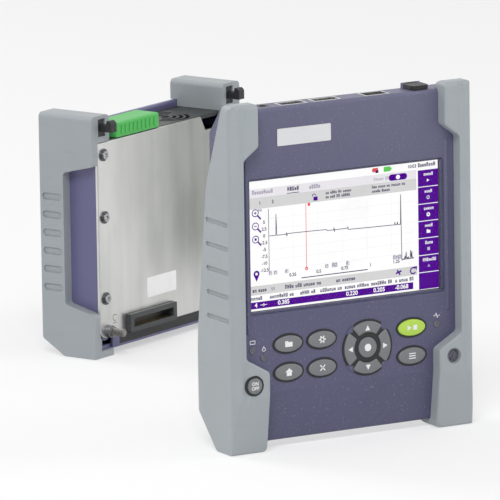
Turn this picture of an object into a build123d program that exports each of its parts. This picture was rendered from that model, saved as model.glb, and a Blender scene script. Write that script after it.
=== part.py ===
from build123d import *
from math import cos, radians, sin
import os

# Optical time domain reflectometer in two units: a handheld base unit with a touch screen and keys,
# and the optical test module that docks on its back, standing detached behind it.
# Each unit is drawn in its own frame, X to the right, Y to the back and Z up, with its foot at Z = 0.
# The base unit's frame lies at the middle of its width and depth, the module's at the middle of its
# mating face. The last section sets both units on one floor, about the middle of the pair's box.

# Base unit, overall
base_width = 138.0
base_height = 175.0
base_depth = 40.0

# Rubber bumpers of the base unit
bumper_wall = 6.0
crown_wall = 4.0
foot_wall = 3.5
bumper_proud = 7.0
bumper_top_depth = 8.5
bumper_mid_depth = 25.5
bumper_mid_height = 133.0
bumper_low_height = 30.0
foot_length = 19.0
heel_height = 21.0
top_block_width = 16.0
top_block_height = 21.5
strip_width = 7.5
low_block_width = 20.5
low_block_height = 40.5
block_slope_top = 6.3
block_slope_low = 7.5
bumper_skin_gap = 0.1
bumper_edge = 1.3
grip_count = 5
grip_pitch = 12.0
grip_low = 67.4
grip_length = 22.0
grip_width = 2.4
grip_depth = 0.7

# Chin: below this height the front leans back
chin_height = 29.0
chin_setback = 4.0

# Moulded case of the base unit
case_depth = 25.0
front_shell_depth = 13.0
case_wall = 2.2
case_corner = 2.0
shoulder_run = 12.0
shoulder_drop = 14.0
heel_run = 17.0
heel_rise = 17.0

# Display
screen_width = 108.0
screen_height = 64.8
screen_bottom = 70.0
glass_margin = 1.6
glass_thickness = 1.2
ledge_width = 1.2
gasket_thickness = 0.6
panel_thickness = 2.4
rail_width = 2.2
rail_height = 0.9
rail_overrun = 11.0

# Keys: ellipses in two rows, a four-way ring round a centre key, and a round power key
key_length = 15.6
key_height = 8.3
key_proud = 0.9
key_gap = 0.2
key_travel = 0.8
key_flange = 1.0
key_flange_lip = 0.8
bezel_width = 0.8
bezel_depth = 0.7
left_key_x = -34.6
mid_key_x = -15.5
right_key_x = 36.0
upper_row_z = 52.3
lower_row_z = 38.0
ring_x = 10.5
ring_z = 45.2
ring_inner_radius = 7.6
ring_outer_radius = 13.3
ring_sector_angle = 78.0
ring_bezel_radius = 14.3
centre_key_radius = 5.2
power_key_radius = 4.1
power_key_x = -57.8
power_key_z = 34.8
mat_margin = 2.5
mat_thickness = 1.2

# Small round things on the front
lens_radius = 1.9
lens_depth = 1.4
charge_lens = (-54.6, 51.0)
battery_lens = (-48.3, 46.8)
test_lens = (50.8, 52.6)
mic_radius = 3.4
mic_x = 56.5
mic_z = 36.8
mic_depth = 1.6
mesh_thickness = 0.5

# Name plate, left blank
plate_width = 30.4
plate_height = 8.6
plate_x = -23.8
plate_z = 155.8
plate_thickness = 0.5

# Inside the base unit
board_thickness = 1.6
board_width = 112.0
board_bottom = 8.0
board_top = 149.0
dome_clearance = 0.1
battery_width = 86.0
battery_height = 42.0
battery_centre_z = 98.0
battery_play = 0.4
battery_end_gap = 0.3
door_rim = 3.0
door_thickness = 1.2
door_gap = 0.2
door_grip_width = 16.0
door_grip_height = 4.0
screw_x = 45.0
screw_low_z = 27.0
screw_high_z = 144.0
screw_radius = 1.25
screw_head_radius = 2.6
screw_head_height = 1.8
screw_gap = 0.05
boss_radius = 3.4
post_clearance = 0.6

# Sockets on top of the base unit
socket_y = -6.0
network_x = 20.0
network_width = 11.9
network_height = 7.2
network_depth = 12.0
usb_x = (-8.0, -27.0)
usb_width = 13.2
usb_height = 5.7
usb_depth = 11.0
usb_tongue = 1.9
socket_wall = 1.0
audio_x = -43.0
audio_radius = 1.8
audio_depth = 10.0
barrel_radius = 2.75
barrel_pin_radius = 0.95
barrel_depth = 9.0
barrel_x = 44.0
round_socket_wall = 1.4
socket_fit = 0.15
cover_width = 10.0
cover_length = 11.0
cover_thickness = 2.0
cover_gap = 0.3
cover_pin_radius = 0.7
pin_running = 0.05

# Docking features on the back of the base unit
dock_height = 43.0
dock_gap = 0.4
insert_radius = 3.1
insert_length = 8.0
thread_radius = 1.65
hook_slot_width = 6.0
hook_slot_height = 8.0

# Module, overall
module_width = 132.0
module_height = 128.0
module_depth = 34.0

# Module bumpers, shell, plate
module_wall = 6.0
module_block_width = 15.5
module_block_rise = 13.5
module_foot = 3.6
module_foot_width = 16.0
module_top_block = 26.0
module_low_block = 23.0
module_block_slope = 4.7
module_strip_start = 19.0
module_heel_run = 14.0
module_heel_rise = 8.5
module_rib_count = 6
module_rib_pitch = 9.6
module_rib_low = 36.0
module_rib_depth = 0.9
shell_wall = 2.2
shell_corner = 3.0
rim_depth = 3.0
metal_thickness = 1.5
metal_side_gap = 1.0
metal_bottom = 10.0
metal_corner = 5.0
metal_notch_x = 31.0
metal_notch_width = 17.0
metal_notch_depth = 7.5
metal_notch_slope = 4.0
gasket_width = 1.2

# Module hooks, captive screws, connector, label
hook_z = 121.5
hook_x = 57.0
hook_thickness = 4.6
hook_reach = 8.0
hook_bar = 3.4
hook_tip = 2.6
hook_body_height = 9.0
hook_body_depth = 9.0
hook_gap = 0.15
stud_x = 54.6
stud_z = 13.5
stud_radius = 2.0
stud_shank_radius = 2.6
stud_shoulder = 4.2
stud_tip = 0.6
stud_reach = 11.0
stud_head_radius = 4.4
stud_head_height = 3.0
stud_travel = 8.0
bush_radius = 3.3
bush_reach = 3.0
connector_width = 40.9
connector_height = 9.6
connector_x = -18.2
connector_z = 14.9
connector_reach = 3.2
connector_body_depth = 8.0
connector_slot_height = 4.4
connector_slot_depth = 6.0
connector_slot_margin = 3.0
label_width = 25.6
label_height = 10.4
label_x = -6.8
label_z = 30.4
label_thickness = 0.3
plate_screw_x = 56.0
plate_screw_heights = (107.0, 74.0, 31.0)
plate_screw_radius = 1.5
plate_screw_head = 2.2
plate_screw_head_height = 1.3
washer_radius = 3.3
washer_thickness = 0.6

# Module top: panel, fan, hinged port hood
top_panel_thickness = 2.0
top_panel_gap = 0.2
rail_rise = 3.5
fan_size = 27.0
fan_depth = 7.0
fan_x = 21.0
fan_y = 16.0
fan_bore = 12.4
fan_rotor_radius = 11.8
fan_hub_radius = 4.8
fan_blades = 7
fan_blade_thickness = 0.9
fan_pin_radius = 1.0
fan_clearance = 0.6
slot_width = 2.0
slot_radii = (5.0, 8.6, 12.0)
slot_span = 130.0
hood_left = -43.0
hood_width = 38.0
hood_length = 16.0
hood_height = 8.0
hood_wall = 1.6
hood_corner = 1.5
hood_lift = 0.3
hood_front = 0.6
hood_pin_radius = 0.75
hood_knuckle_radius = 1.7
hood_knuckle_length = 28.0
hood_knuckle_gap = 0.3
hood_ear_width = 3.0
hood_opening = 100.0
adapter_pitch = 15.0
adapter_width = 11.4
adapter_length = 9.6
adapter_proud = 4.6
adapter_depth = 12.0
adapter_cavity_width = 9.1
adapter_cavity_length = 7.5
adapter_cavity_depth = 9.0
sleeve_radius = 1.9
ferrule_radius = 1.25
sleeve_length = 7.0

# Inside the module
module_board_y = 8.0
module_board_width = 96.0
module_board_height = 92.0
module_board_foot = 8.0
optics_width = 52.0
optics_height = 34.0
optics_depth = 11.0
optics_x = -22.0
optics_z = 62.0
standoff_radius = 2.4

# The pair on its floor: the module stands behind the base unit, turned to the right
module_turn = 25.0
module_shift_x = 45.0
module_shift_y = 252.0

# Small fits and thin parts
corner_radius = 4.5
valley_inset = 7.0
valley_radius = 4.0
valley_depth = 0.6
glass_gap = 0.1
glass_corner = 2.0
rail_offset = 0.5
key_edge = 0.5
key_seat_gap = 0.05
bezel_fit = 0.05
bezel_proud = 0.25
power_stem_radius = 1.9
power_stem_lip = 0.7
lens_gap = 0.05
lens_proud = 0.35
plate_gap = 0.1
plate_proud = 0.15
plate_corner = 0.6
screw_bite = 9.0
screw_clearance = 0.2
insert_wall = 1.8
dock_socket_gap = 0.3
dock_socket_wall = 1.2
dock_socket_depth = 9.0
dock_cavity_depth = 4.5
round_socket_depth = 11.0
flap_width = 10.0
flap_ear_width = 1.6
flap_knuckle_length = 6.2
flap_knuckle_radius = 1.2
flap_pin_inset = 1.4

# Further module sizes
metal_width = 122.0
metal_height = 103.5
shell_half = 60.0
rail_width_top = 4.0
rail_corner = 1.6
rim_setback = 0.6
column_radius = 3.6
standoff_inset = 5.0
module_board_low = 12.0
stud_head_front = 6.0
stud_tunnel_wall = 0.9
stud_tunnel_gap = 0.3
stud_seat_gap = 0.05
stud_running = 0.05
adapter_y = 7.4
hood_pin_back = 2.2
hood_ear_span = 35.0
hood_rib_count = 9
hood_rib_pitch = 3.6
hood_rib_width = 1.6
hood_rib_proud = 0.5
hub_window_radius = 2.5
fan_floor = 1.2
fan_pin_length = 4.0

# Derived places of the base unit
front_y = -base_depth / 2
face_y = front_y + bumper_proud
case_back = face_y + case_depth
case_half = base_width / 2 - bumper_wall
case_top = base_height - crown_wall
split_y = face_y + front_shell_depth
inner_face_y = face_y + case_wall
chin_lean = chin_setback / chin_height
screen_centre_z = screen_bottom + screen_height / 2
glass_width = screen_width + 2 * glass_margin
glass_height = screen_height + 2 * glass_margin
glass_back_y = face_y + glass_thickness
panel_front_y = inner_face_y + gasket_thickness
flange_back_y = inner_face_y + key_flange
mat_front_y = flange_back_y + key_travel + dome_clearance
board_front_y = mat_front_y + mat_thickness
board_back_y = board_front_y + board_thickness
inner_back_y = case_back - case_wall
inner_top_z = case_top - case_wall


def facing(y):
    """Plane at depth y that looks out of the front: its X is to the right and its Y is up."""
    return Plane(origin=(0, y, 0), x_dir=(1, 0, 0), z_dir=(0, -1, 0))


def rearing(y):
    """Plane at depth y that looks out of the back, with the same X."""
    return Plane(origin=(0, y, 0), x_dir=(1, 0, 0), z_dir=(0, 1, 0))


def save(piece, name, place):
    """Set a finished piece in its place on the floor and write it."""
    placed = piece.part.moved(place)
    placed.label = name
    export_step(placed, f"parts/{name}.step")


# Side outlines of the base unit, on the Y-Z plane
with BuildSketch(Plane.YZ) as case_outline:
    with BuildLine():
        Polyline(
            (face_y, case_top),
            (face_y, chin_height),
            (face_y + chin_lean * (chin_height - foot_wall), foot_wall),
            (case_back - heel_run, foot_wall),
            (case_back, foot_wall + heel_rise),
            (case_back, case_top - shoulder_drop),
            (case_back - shoulder_run, case_top),
            close=True,
        )
    make_face()
    fillet(case_outline.vertices(), radius=case_corner)

with BuildSketch(Plane.YZ) as case_cavity:
    add(case_outline.sketch_local)
    offset(amount=-case_wall)

with BuildSketch(Plane.YZ) as case_clearance:
    add(case_outline.sketch_local)
    offset(amount=bumper_skin_gap)

with BuildSketch(Plane.YZ) as bumper_outline:
    with BuildLine():
        Polyline(
            (front_y, base_height),
            (front_y, chin_height),
            (front_y + chin_setback, 0),
            (front_y + foot_length, 0),
            (-front_y, heel_height),
            (-front_y, bumper_low_height),
            (front_y + bumper_mid_depth, bumper_mid_height),
            (front_y + bumper_top_depth, base_height),
            close=True,
        )
    make_face()
    fillet(bumper_outline.vertices().filter_by(lambda v: v.X > -front_y - 1 and v.Y < bumper_low_height - 1), radius=7.0)
    fillet(bumper_outline.vertices().filter_by(lambda v: abs(v.X) < base_depth / 4 and v.Y < 1), radius=4.0)
    fillet(bumper_outline.vertices().filter_by(lambda v: v.Y > base_height - 1), radius=2.5)

# Top view outline that rounds the unit's four upright corners
with BuildSketch(Plane.XY) as corner_outline:
    Rectangle(base_width, base_depth)
    fillet(corner_outline.vertices(), radius=4.5)

# Front outline of the left bumper: two broad blocks joined by a narrow strip
half = base_width / 2
with BuildSketch(facing(-front_y)) as bumper_front:
    with BuildLine():
        Polyline(
            (-half, 0),
            (-half + low_block_width, 0),
            (-half + low_block_width, low_block_height),
            (-half + strip_width, low_block_height + block_slope_low),
            (-half + strip_width, base_height - top_block_height - block_slope_top),
            (-half + top_block_width, base_height - top_block_height),
            (-half + top_block_width, base_height),
            (-half, base_height),
            close=True,
        )
    make_face()
    inner_corners = bumper_front.vertices().filter_by(lambda v: v.X > -half + 1)
    fillet(inner_corners, radius=2.6)
    fillet(bumper_front.vertices().filter_by(lambda v: v.X < -half + 1 and v.Y > chin_height), radius=3.5)


def block(x, y, z, mode=Mode.ADD):
    """A box between two limits along each axis."""
    with Locations(((x[0] + x[1]) / 2, (y[0] + y[1]) / 2, (z[0] + z[1]) / 2)):
        Box(x[1] - x[0], y[1] - y[0], z[1] - z[0], mode=mode)


def rod(x, z, radius, y, mode=Mode.ADD):
    """A round bar along Y between two depths."""
    with Locations(Location((x, (y[0] + y[1]) / 2, z), (90, 0, 0))):
        Cylinder(radius, y[1] - y[0], mode=mode)


def ellipse_outline(x, z, grow, y):
    """Outline of an elliptic key, grown all round, at depth y."""
    with BuildSketch(facing(y)) as outline:
        with Locations((x, z)):
            Ellipse(key_length / 2 + grow, key_height / 2 + grow)
    return outline.sketch


def disc_outline(x, z, radius, y):
    """A disc at depth y."""
    with BuildSketch(facing(y)) as outline:
        with Locations((x, z)):
            Circle(radius)
    return outline.sketch


def sector_outline(turn, grow, y):
    """Outline of one key of the four-way ring, grown all round, at depth y."""
    far = 2 * ring_outer_radius
    low = radians(turn - ring_sector_angle / 2)
    high = radians(turn + ring_sector_angle / 2)
    with BuildSketch(facing(y)) as outline:
        with Locations((ring_x, ring_z)):
            Circle(ring_outer_radius)
            Circle(ring_inner_radius, mode=Mode.SUBTRACT)
            Polygon(
                (0, 0),
                (far * cos(low), far * sin(low)),
                (far * cos(high), far * sin(high)),
                align=None,
                mode=Mode.INTERSECT,
            )
        fillet(outline.vertices(), radius=0.8)
        if grow:
            offset(amount=grow)
    return outline.sketch


def sliding_key(outline, top_y):
    """A key that slides in its hole: a cap up to top_y and a flange behind the wall.

    outline draws the key's edge, grown by an amount, at a depth.
    """
    with BuildPart() as key:
        extrude(outline(0, flange_back_y), amount=flange_back_y - top_y)
        fillet(key.faces().sort_by(Axis.Y)[0].edges(), radius=key_edge)
        extrude(outline(key_flange_lip, flange_back_y), amount=key_flange - key_seat_gap)
    return key


# The keys of the face, each with the function that draws its outline
ellipse_places = {
    "key_upper_left": (left_key_x, upper_row_z),
    "key_upper_middle": (mid_key_x, upper_row_z),
    "key_lower_left": (left_key_x, lower_row_z),
    "key_lower_middle": (mid_key_x, lower_row_z),
    "key_lower_right": (right_key_x, lower_row_z),
    "key_start": (right_key_x, upper_row_z),
}
arrow_turns = {"key_arrow_right": 0, "key_arrow_up": 90, "key_arrow_left": 180, "key_arrow_down": 270}
face_keys = {}
for key_name, (key_x, key_z) in ellipse_places.items():
    face_keys[key_name] = lambda grow, y, x=key_x, z=key_z: ellipse_outline(x, z, grow, y)
for key_name, key_turn in arrow_turns.items():
    face_keys[key_name] = lambda grow, y, turn=key_turn: sector_outline(turn, grow, y)
face_keys["key_centre"] = lambda grow, y: disc_outline(ring_x, ring_z, centre_key_radius + grow, y)

face_lenses = [charge_lens, battery_lens, test_lens]
case_screws_at = [(side * screw_x, z) for side in (-1, 1) for z in (screw_low_z, screw_high_z)]
inserts_at = [(side * stud_x, dock_height + stud_z) for side in (-1, 1)]
hooks_at = [side * hook_x for side in (-1, 1)]

# Sockets on top: name, middle in X, and the width and depth of the opening
top_sockets = [(network_x, network_width, network_height)]
for place in usb_x:
    top_sockets.append((place, usb_width, usb_height))
round_sockets = [(audio_x, audio_radius), (barrel_x, barrel_radius)]

# The hinge of the flap over the charging socket
flap_pin_y = split_y - flap_pin_inset
flap_pin_z = case_top + flap_knuckle_radius + cover_gap
flap_front_y = socket_y - cover_length / 2

with BuildPart() as front_case:
    extrude(case_outline.sketch, amount=case_half, both=True)
    extrude(case_cavity.sketch, amount=case_half - case_wall, both=True, mode=Mode.SUBTRACT)
    # Posts that the screws from the back bite into
    for screw_place_x, screw_place_z in case_screws_at:
        rod(screw_place_x, screw_place_z, boss_radius, (inner_face_y, split_y))
    split(bisect_by=facing(split_y), keep=Keep.TOP)
    for screw_place_x, screw_place_z in case_screws_at:
        rod(
            screw_place_x,
            screw_place_z,
            screw_radius + screw_gap,
            (split_y - screw_bite, split_y),
            mode=Mode.SUBTRACT,
        )
    # Raised rails beside the glass
    with BuildSketch(facing(face_y)):
        with Locations((0, screen_centre_z)):
            with GridLocations(glass_width + rail_width + 2 * rail_offset, 1, 2, 1):
                Rectangle(rail_width, screen_height + 2 * rail_overrun)
    extrude(amount=rail_height, taper=40)
    # Glass recess and the window behind it
    with BuildSketch(facing(face_y)):
        with Locations((0, screen_centre_z)):
            RectangleRounded(glass_width + 2 * glass_gap, glass_height + 2 * glass_gap, glass_corner + glass_gap)
    extrude(amount=-glass_thickness, mode=Mode.SUBTRACT)
    with BuildSketch(facing(face_y)):
        with Locations((0, screen_centre_z)):
            Rectangle(glass_width - 2 * ledge_width, glass_height - 2 * ledge_width)
    extrude(amount=-case_wall, mode=Mode.SUBTRACT)
    # Key holes with seats for their bezels
    for draw_key in face_keys.values():
        extrude(draw_key(key_gap, face_y), amount=-case_wall, mode=Mode.SUBTRACT)
    for key_x, key_z in ellipse_places.values():
        seat = ellipse_outline(key_x, key_z, key_gap + bezel_width + bezel_fit, face_y)
        extrude(seat, amount=-bezel_depth, mode=Mode.SUBTRACT)
    extrude(disc_outline(ring_x, ring_z, ring_bezel_radius + bezel_fit, face_y), amount=-bezel_depth, mode=Mode.SUBTRACT)
    rod(power_key_x, power_key_z, power_stem_radius + key_gap, (face_y, inner_face_y), mode=Mode.SUBTRACT)
    for lens_x, lens_z in face_lenses:
        rod(lens_x, lens_z, lens_radius + lens_gap, (face_y, inner_face_y), mode=Mode.SUBTRACT)
    # Seat of the name plate
    block(
        (plate_x - plate_width / 2 - plate_gap, plate_x + plate_width / 2 + plate_gap),
        (face_y, face_y + plate_thickness),
        (plate_z - plate_height / 2 - plate_gap, plate_z + plate_height / 2 + plate_gap),
        mode=Mode.SUBTRACT,
    )
    # Openings for the sockets on top
    with BuildSketch(Plane.XY.offset(inner_top_z)):
        for place, width, depth in top_sockets:
            with Locations((place, socket_y)):
                Rectangle(width + 2 * (socket_wall + socket_fit), depth + 2 * (socket_wall + socket_fit))
        for place, radius in round_sockets:
            with Locations((place, socket_y)):
                Circle(radius + round_socket_wall + socket_fit)
    extrude(amount=case_wall, mode=Mode.SUBTRACT)
    # Ears and pin for the flap
    with BuildSketch(Plane.YZ.offset(barrel_x - flap_width / 2)) as flap_ear:
        with Locations((flap_pin_y, flap_pin_z)):
            Circle(flap_knuckle_radius)
        with Locations((flap_pin_y, (flap_pin_z + case_top - case_corner) / 2)):
            Rectangle(2 * flap_knuckle_radius, flap_pin_z - case_top + case_corner)
    extrude(amount=flap_ear_width)
    extrude(flap_ear.sketch.moved(Location((flap_width - flap_ear_width, 0, 0))), amount=flap_ear_width)
    with Locations(Location((barrel_x, flap_pin_y, flap_pin_z), (0, 90, 0))):
        Cylinder(cover_pin_radius, flap_width - flap_ear_width)

with BuildPart() as rear_case:
    extrude(case_outline.sketch, amount=case_half, both=True)
    extrude(case_cavity.sketch, amount=case_half - case_wall, both=True, mode=Mode.SUBTRACT)
    for screw_place_x, screw_place_z in case_screws_at:
        rod(screw_place_x, screw_place_z, boss_radius, (split_y, inner_back_y))
    for insert_x, insert_z in inserts_at:
        rod(insert_x, insert_z, insert_radius + insert_wall, (split_y, inner_back_y))
    split(bisect_by=facing(split_y), keep=Keep.BOTTOM)
    for screw_place_x, screw_place_z in case_screws_at:
        rod(screw_place_x, screw_place_z, screw_radius + screw_clearance, (split_y, case_back), mode=Mode.SUBTRACT)
        rod(
            screw_place_x,
            screw_place_z,
            screw_head_radius + screw_clearance,
            (case_back - screw_head_height, case_back),
            mode=Mode.SUBTRACT,
        )
    for insert_x, insert_z in inserts_at:
        rod(insert_x, insert_z, insert_radius, (case_back - insert_length, case_back), mode=Mode.SUBTRACT)
    # Slots for the module's hooks, in the sloping shoulder
    for hook_place in hooks_at:
        block(
            (hook_place - hook_slot_width / 2, hook_place + hook_slot_width / 2),
            (case_back - shoulder_run, case_back),
            (dock_height + hook_z - hook_slot_height / 2, dock_height + hook_z + hook_slot_height / 2),
            mode=Mode.SUBTRACT,
        )
    # Battery bay and the shallow recess for its door
    battery_bay = (battery_width / 2 + battery_play, battery_height / 2 + battery_play)
    block(
        (-battery_bay[0], battery_bay[0]),
        (inner_back_y, case_back),
        (battery_centre_z - battery_bay[1], battery_centre_z + battery_bay[1]),
        mode=Mode.SUBTRACT,
    )
    door_recess = (battery_bay[0] + door_rim, battery_bay[1] + door_rim)
    block(
        (-door_recess[0], door_recess[0]),
        (case_back - door_thickness, case_back),
        (battery_centre_z - door_recess[1], battery_centre_z + door_recess[1]),
        mode=Mode.SUBTRACT,
    )
    # Opening for the docking socket
    dock_z = dock_height + connector_z
    dock_outer = (connector_width / 2 + dock_socket_gap + dock_socket_wall, connector_height / 2 + dock_socket_gap + dock_socket_wall)
    block(
        (connector_x - dock_outer[0] - socket_fit, connector_x + dock_outer[0] + socket_fit),
        (inner_back_y, case_back),
        (dock_z - dock_outer[1] - socket_fit, dock_z + dock_outer[1] + socket_fit),
        mode=Mode.SUBTRACT,
    )


def bumper_body():
    """The left bumper before its own cut-outs: three outlines crossed, less the case and the module."""
    with BuildPart() as body:
        extrude(bumper_front.sketch, amount=base_depth)
        extrude(bumper_outline.sketch, amount=half, both=True, mode=Mode.INTERSECT)
        extrude(corner_outline.sketch, amount=base_height, mode=Mode.INTERSECT)
        inner_edges = body.edges().filter_by(
            lambda e: e.center().Y < front_y + chin_setback and -half + corner_radius < e.center().X
            and not (abs(e.center().Z - chin_height) < 0.1 and e.length > 5)
        )
        fillet(inner_edges.filter_by(lambda e: e.center().Y < front_y + 0.01 + chin_lean * max(0, chin_height - e.center().Z)), radius=bumper_edge)
        extrude(case_clearance.sketch, amount=case_half + bumper_skin_gap, both=True, mode=Mode.SUBTRACT)
        block(
            (-module_width / 2 - dock_gap, 0),
            (case_back - bumper_skin_gap, base_depth),
            (dock_height - dock_gap, base_height),
            mode=Mode.SUBTRACT,
        )
        # Shallow valley that runs down the front beside the outer corner
        with Locations((-half + valley_inset, front_y - valley_radius + valley_depth, base_height / 2)):
            Cylinder(valley_radius, base_height, mode=Mode.SUBTRACT)
        # Finger grooves across the side
        with BuildSketch(Plane.YZ.offset(-half)):
            with Locations((front_y + corner_radius + grip_length / 2, grip_low + grip_pitch * (grip_count - 1) / 2)):
                with GridLocations(1, grip_pitch, 1, grip_count):
                    SlotOverall(grip_length, grip_width)
        extrude(amount=grip_depth, mode=Mode.SUBTRACT)
    return body


with BuildPart() as left_bumper:
    add(bumper_body().part)
    rod(power_key_x, power_key_z, power_key_radius + key_gap, (front_y, face_y), mode=Mode.SUBTRACT)
    rod(
        power_key_x,
        power_key_z,
        power_key_radius + key_gap + bezel_width + bezel_fit,
        (front_y, front_y + bezel_depth),
        mode=Mode.SUBTRACT,
    )

with BuildPart() as right_bumper:
    mirror(bumper_body().part, about=Plane.YZ)
    rod(mic_x, mic_z, mic_radius, (front_y, front_y + mic_depth), mode=Mode.SUBTRACT)

with BuildPart() as microphone_mesh:
    rod(mic_x, mic_z, mic_radius - bezel_fit, (front_y + mic_depth - mesh_thickness, front_y + mic_depth))

with BuildPart() as touch_glass:
    with BuildSketch(facing(glass_back_y)):
        with Locations((0, screen_centre_z)):
            RectangleRounded(glass_width, glass_height, glass_corner)
    extrude(amount=glass_thickness)

with BuildPart() as display_gasket:
    with BuildSketch(facing(panel_front_y)):
        with Locations((0, screen_centre_z)):
            Rectangle(glass_width, glass_height)
            Rectangle(glass_width - 2 * ledge_width, glass_height - 2 * ledge_width, mode=Mode.SUBTRACT)
    extrude(amount=gasket_thickness)

with BuildPart() as display_panel:
    with BuildSketch(facing(panel_front_y)):
        with Locations((0, screen_centre_z)):
            Rectangle(glass_width, glass_height)
    extrude(amount=-panel_thickness)

with BuildPart() as name_plate:
    with BuildSketch(facing(face_y + plate_thickness)):
        with Locations((plate_x, plate_z)):
            RectangleRounded(plate_width, plate_height, plate_corner)
    extrude(amount=plate_thickness + plate_proud)

with BuildPart() as key_bezels:
    for key_x, key_z in ellipse_places.values():
        extrude(ellipse_outline(key_x, key_z, key_gap + bezel_width, face_y + bezel_depth), amount=bezel_depth + bezel_proud)
        extrude(
            ellipse_outline(key_x, key_z, key_gap, face_y + bezel_depth),
            amount=bezel_depth + bezel_proud,
            mode=Mode.SUBTRACT,
        )
    extrude(disc_outline(ring_x, ring_z, ring_bezel_radius, face_y + bezel_depth), amount=bezel_depth + bezel_proud)
    for key_name in list(arrow_turns) + ["key_centre"]:
        extrude(face_keys[key_name](key_gap, face_y + bezel_depth), amount=bezel_depth + bezel_proud, mode=Mode.SUBTRACT)
    rod(
        power_key_x,
        power_key_z,
        power_key_radius + key_gap + bezel_width,
        (front_y - bezel_proud, front_y + bezel_depth),
    )
    rod(power_key_x, power_key_z, power_key_radius + key_gap, (front_y - bezel_proud, face_y), mode=Mode.SUBTRACT)

keys = {name: sliding_key(draw_key, face_y - key_proud) for name, draw_key in face_keys.items()}

with BuildPart() as key_power:
    rod(power_key_x, power_key_z, power_key_radius, (front_y - key_proud, face_y - key_travel - key_gap))
    fillet(key_power.faces().sort_by(Axis.Y)[0].edges(), radius=key_edge)
    rod(power_key_x, power_key_z, power_stem_radius, (face_y - key_travel - key_gap, board_front_y - key_travel - dome_clearance))
    rod(
        power_key_x,
        power_key_z,
        power_stem_radius + power_stem_lip,
        (inner_face_y + key_seat_gap, flange_back_y),
    )

with BuildPart() as status_lenses:
    for lens_x, lens_z in face_lenses:
        rod(lens_x, lens_z, lens_radius, (face_y - lens_proud, inner_face_y))
    fillet(status_lenses.faces().group_by(Axis.Y)[0].edges(), radius=lens_proud)

with BuildPart() as key_mat:
    with BuildSketch(facing(board_front_y)):
        mat_left = left_key_x - key_length / 2 - mat_margin
        mat_right = right_key_x + key_length / 2 + mat_margin
        mat_low = lower_row_z - key_height / 2 - mat_margin
        mat_high = upper_row_z + key_height / 2 + mat_margin
        with Locations(((mat_left + mat_right) / 2, (mat_low + mat_high) / 2)):
            Rectangle(mat_right - mat_left, mat_high - mat_low)
    extrude(amount=mat_thickness)

with BuildPart() as main_board:
    block((-board_width / 2, board_width / 2), (board_front_y, board_back_y), (board_bottom, board_top))
    for screw_place_x, screw_place_z in case_screws_at:
        rod(screw_place_x, screw_place_z, boss_radius + post_clearance, (board_front_y, board_back_y), mode=Mode.SUBTRACT)

with BuildPart() as battery_pack:
    block(
        (-battery_width / 2, battery_width / 2),
        (board_back_y + battery_end_gap, case_back - door_thickness - battery_end_gap),
        (battery_centre_z - battery_height / 2, battery_centre_z + battery_height / 2),
    )
    fillet(battery_pack.edges().filter_by(Axis.X), radius=2.0)

with BuildPart() as battery_door:
    block(
        (-door_recess[0] + door_gap, door_recess[0] - door_gap),
        (case_back - door_thickness, case_back),
        (battery_centre_z - door_recess[1] + door_gap, battery_centre_z + door_recess[1] - door_gap),
    )

with BuildPart() as case_screws:
    for screw_place_x, screw_place_z in case_screws_at:
        rod(screw_place_x, screw_place_z, screw_head_radius, (case_back - screw_head_height, case_back))
        rod(screw_place_x, screw_place_z, screw_radius, (split_y - screw_bite, case_back - screw_head_height))

with BuildPart() as dock_inserts:
    for insert_x, insert_z in inserts_at:
        rod(insert_x, insert_z, insert_radius, (case_back - insert_length, case_back))
        rod(insert_x, insert_z, thread_radius, (case_back - insert_length, case_back), mode=Mode.SUBTRACT)

with BuildPart() as dock_socket:
    block(
        (connector_x - dock_outer[0], connector_x + dock_outer[0]),
        (case_back - dock_socket_depth, case_back),
        (dock_z - dock_outer[1], dock_z + dock_outer[1]),
    )
    block(
        (connector_x - dock_outer[0] + dock_socket_wall, connector_x + dock_outer[0] - dock_socket_wall),
        (case_back - dock_cavity_depth, case_back),
        (dock_z - dock_outer[1] + dock_socket_wall, dock_z + dock_outer[1] - dock_socket_wall),
        mode=Mode.SUBTRACT,
    )
    blade = (connector_width / 2 - connector_slot_margin - dock_socket_gap, connector_slot_height / 2 - dock_socket_gap)
    block(
        (connector_x - blade[0], connector_x + blade[0]),
        (case_back - dock_cavity_depth, case_back),
        (dock_z - blade[1], dock_z + blade[1]),
    )

with BuildPart() as network_socket:
    block(
        (network_x - network_width / 2 - socket_wall, network_x + network_width / 2 + socket_wall),
        (socket_y - network_height / 2 - socket_wall, socket_y + network_height / 2 + socket_wall),
        (case_top - network_depth - socket_wall, case_top),
    )
    block(
        (network_x - network_width / 2, network_x + network_width / 2),
        (socket_y - network_height / 2, socket_y + network_height / 2),
        (case_top - network_depth, case_top),
        mode=Mode.SUBTRACT,
    )

with BuildPart() as usb_sockets:
    for place in usb_x:
        block(
            (place - usb_width / 2 - socket_wall, place + usb_width / 2 + socket_wall),
            (socket_y - usb_height / 2 - socket_wall, socket_y + usb_height / 2 + socket_wall),
            (case_top - usb_depth - socket_wall, case_top),
        )
        block(
            (place - usb_width / 2, place + usb_width / 2),
            (socket_y - usb_height / 2, socket_y + usb_height / 2),
            (case_top - usb_depth, case_top),
            mode=Mode.SUBTRACT,
        )
        block(
            (place - usb_width / 2 + socket_wall, place + usb_width / 2 - socket_wall),
            (socket_y - usb_height / 2 + socket_wall / 2, socket_y - usb_height / 2 + socket_wall / 2 + usb_tongue),
            (case_top - usb_depth, case_top - socket_wall),
        )

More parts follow.
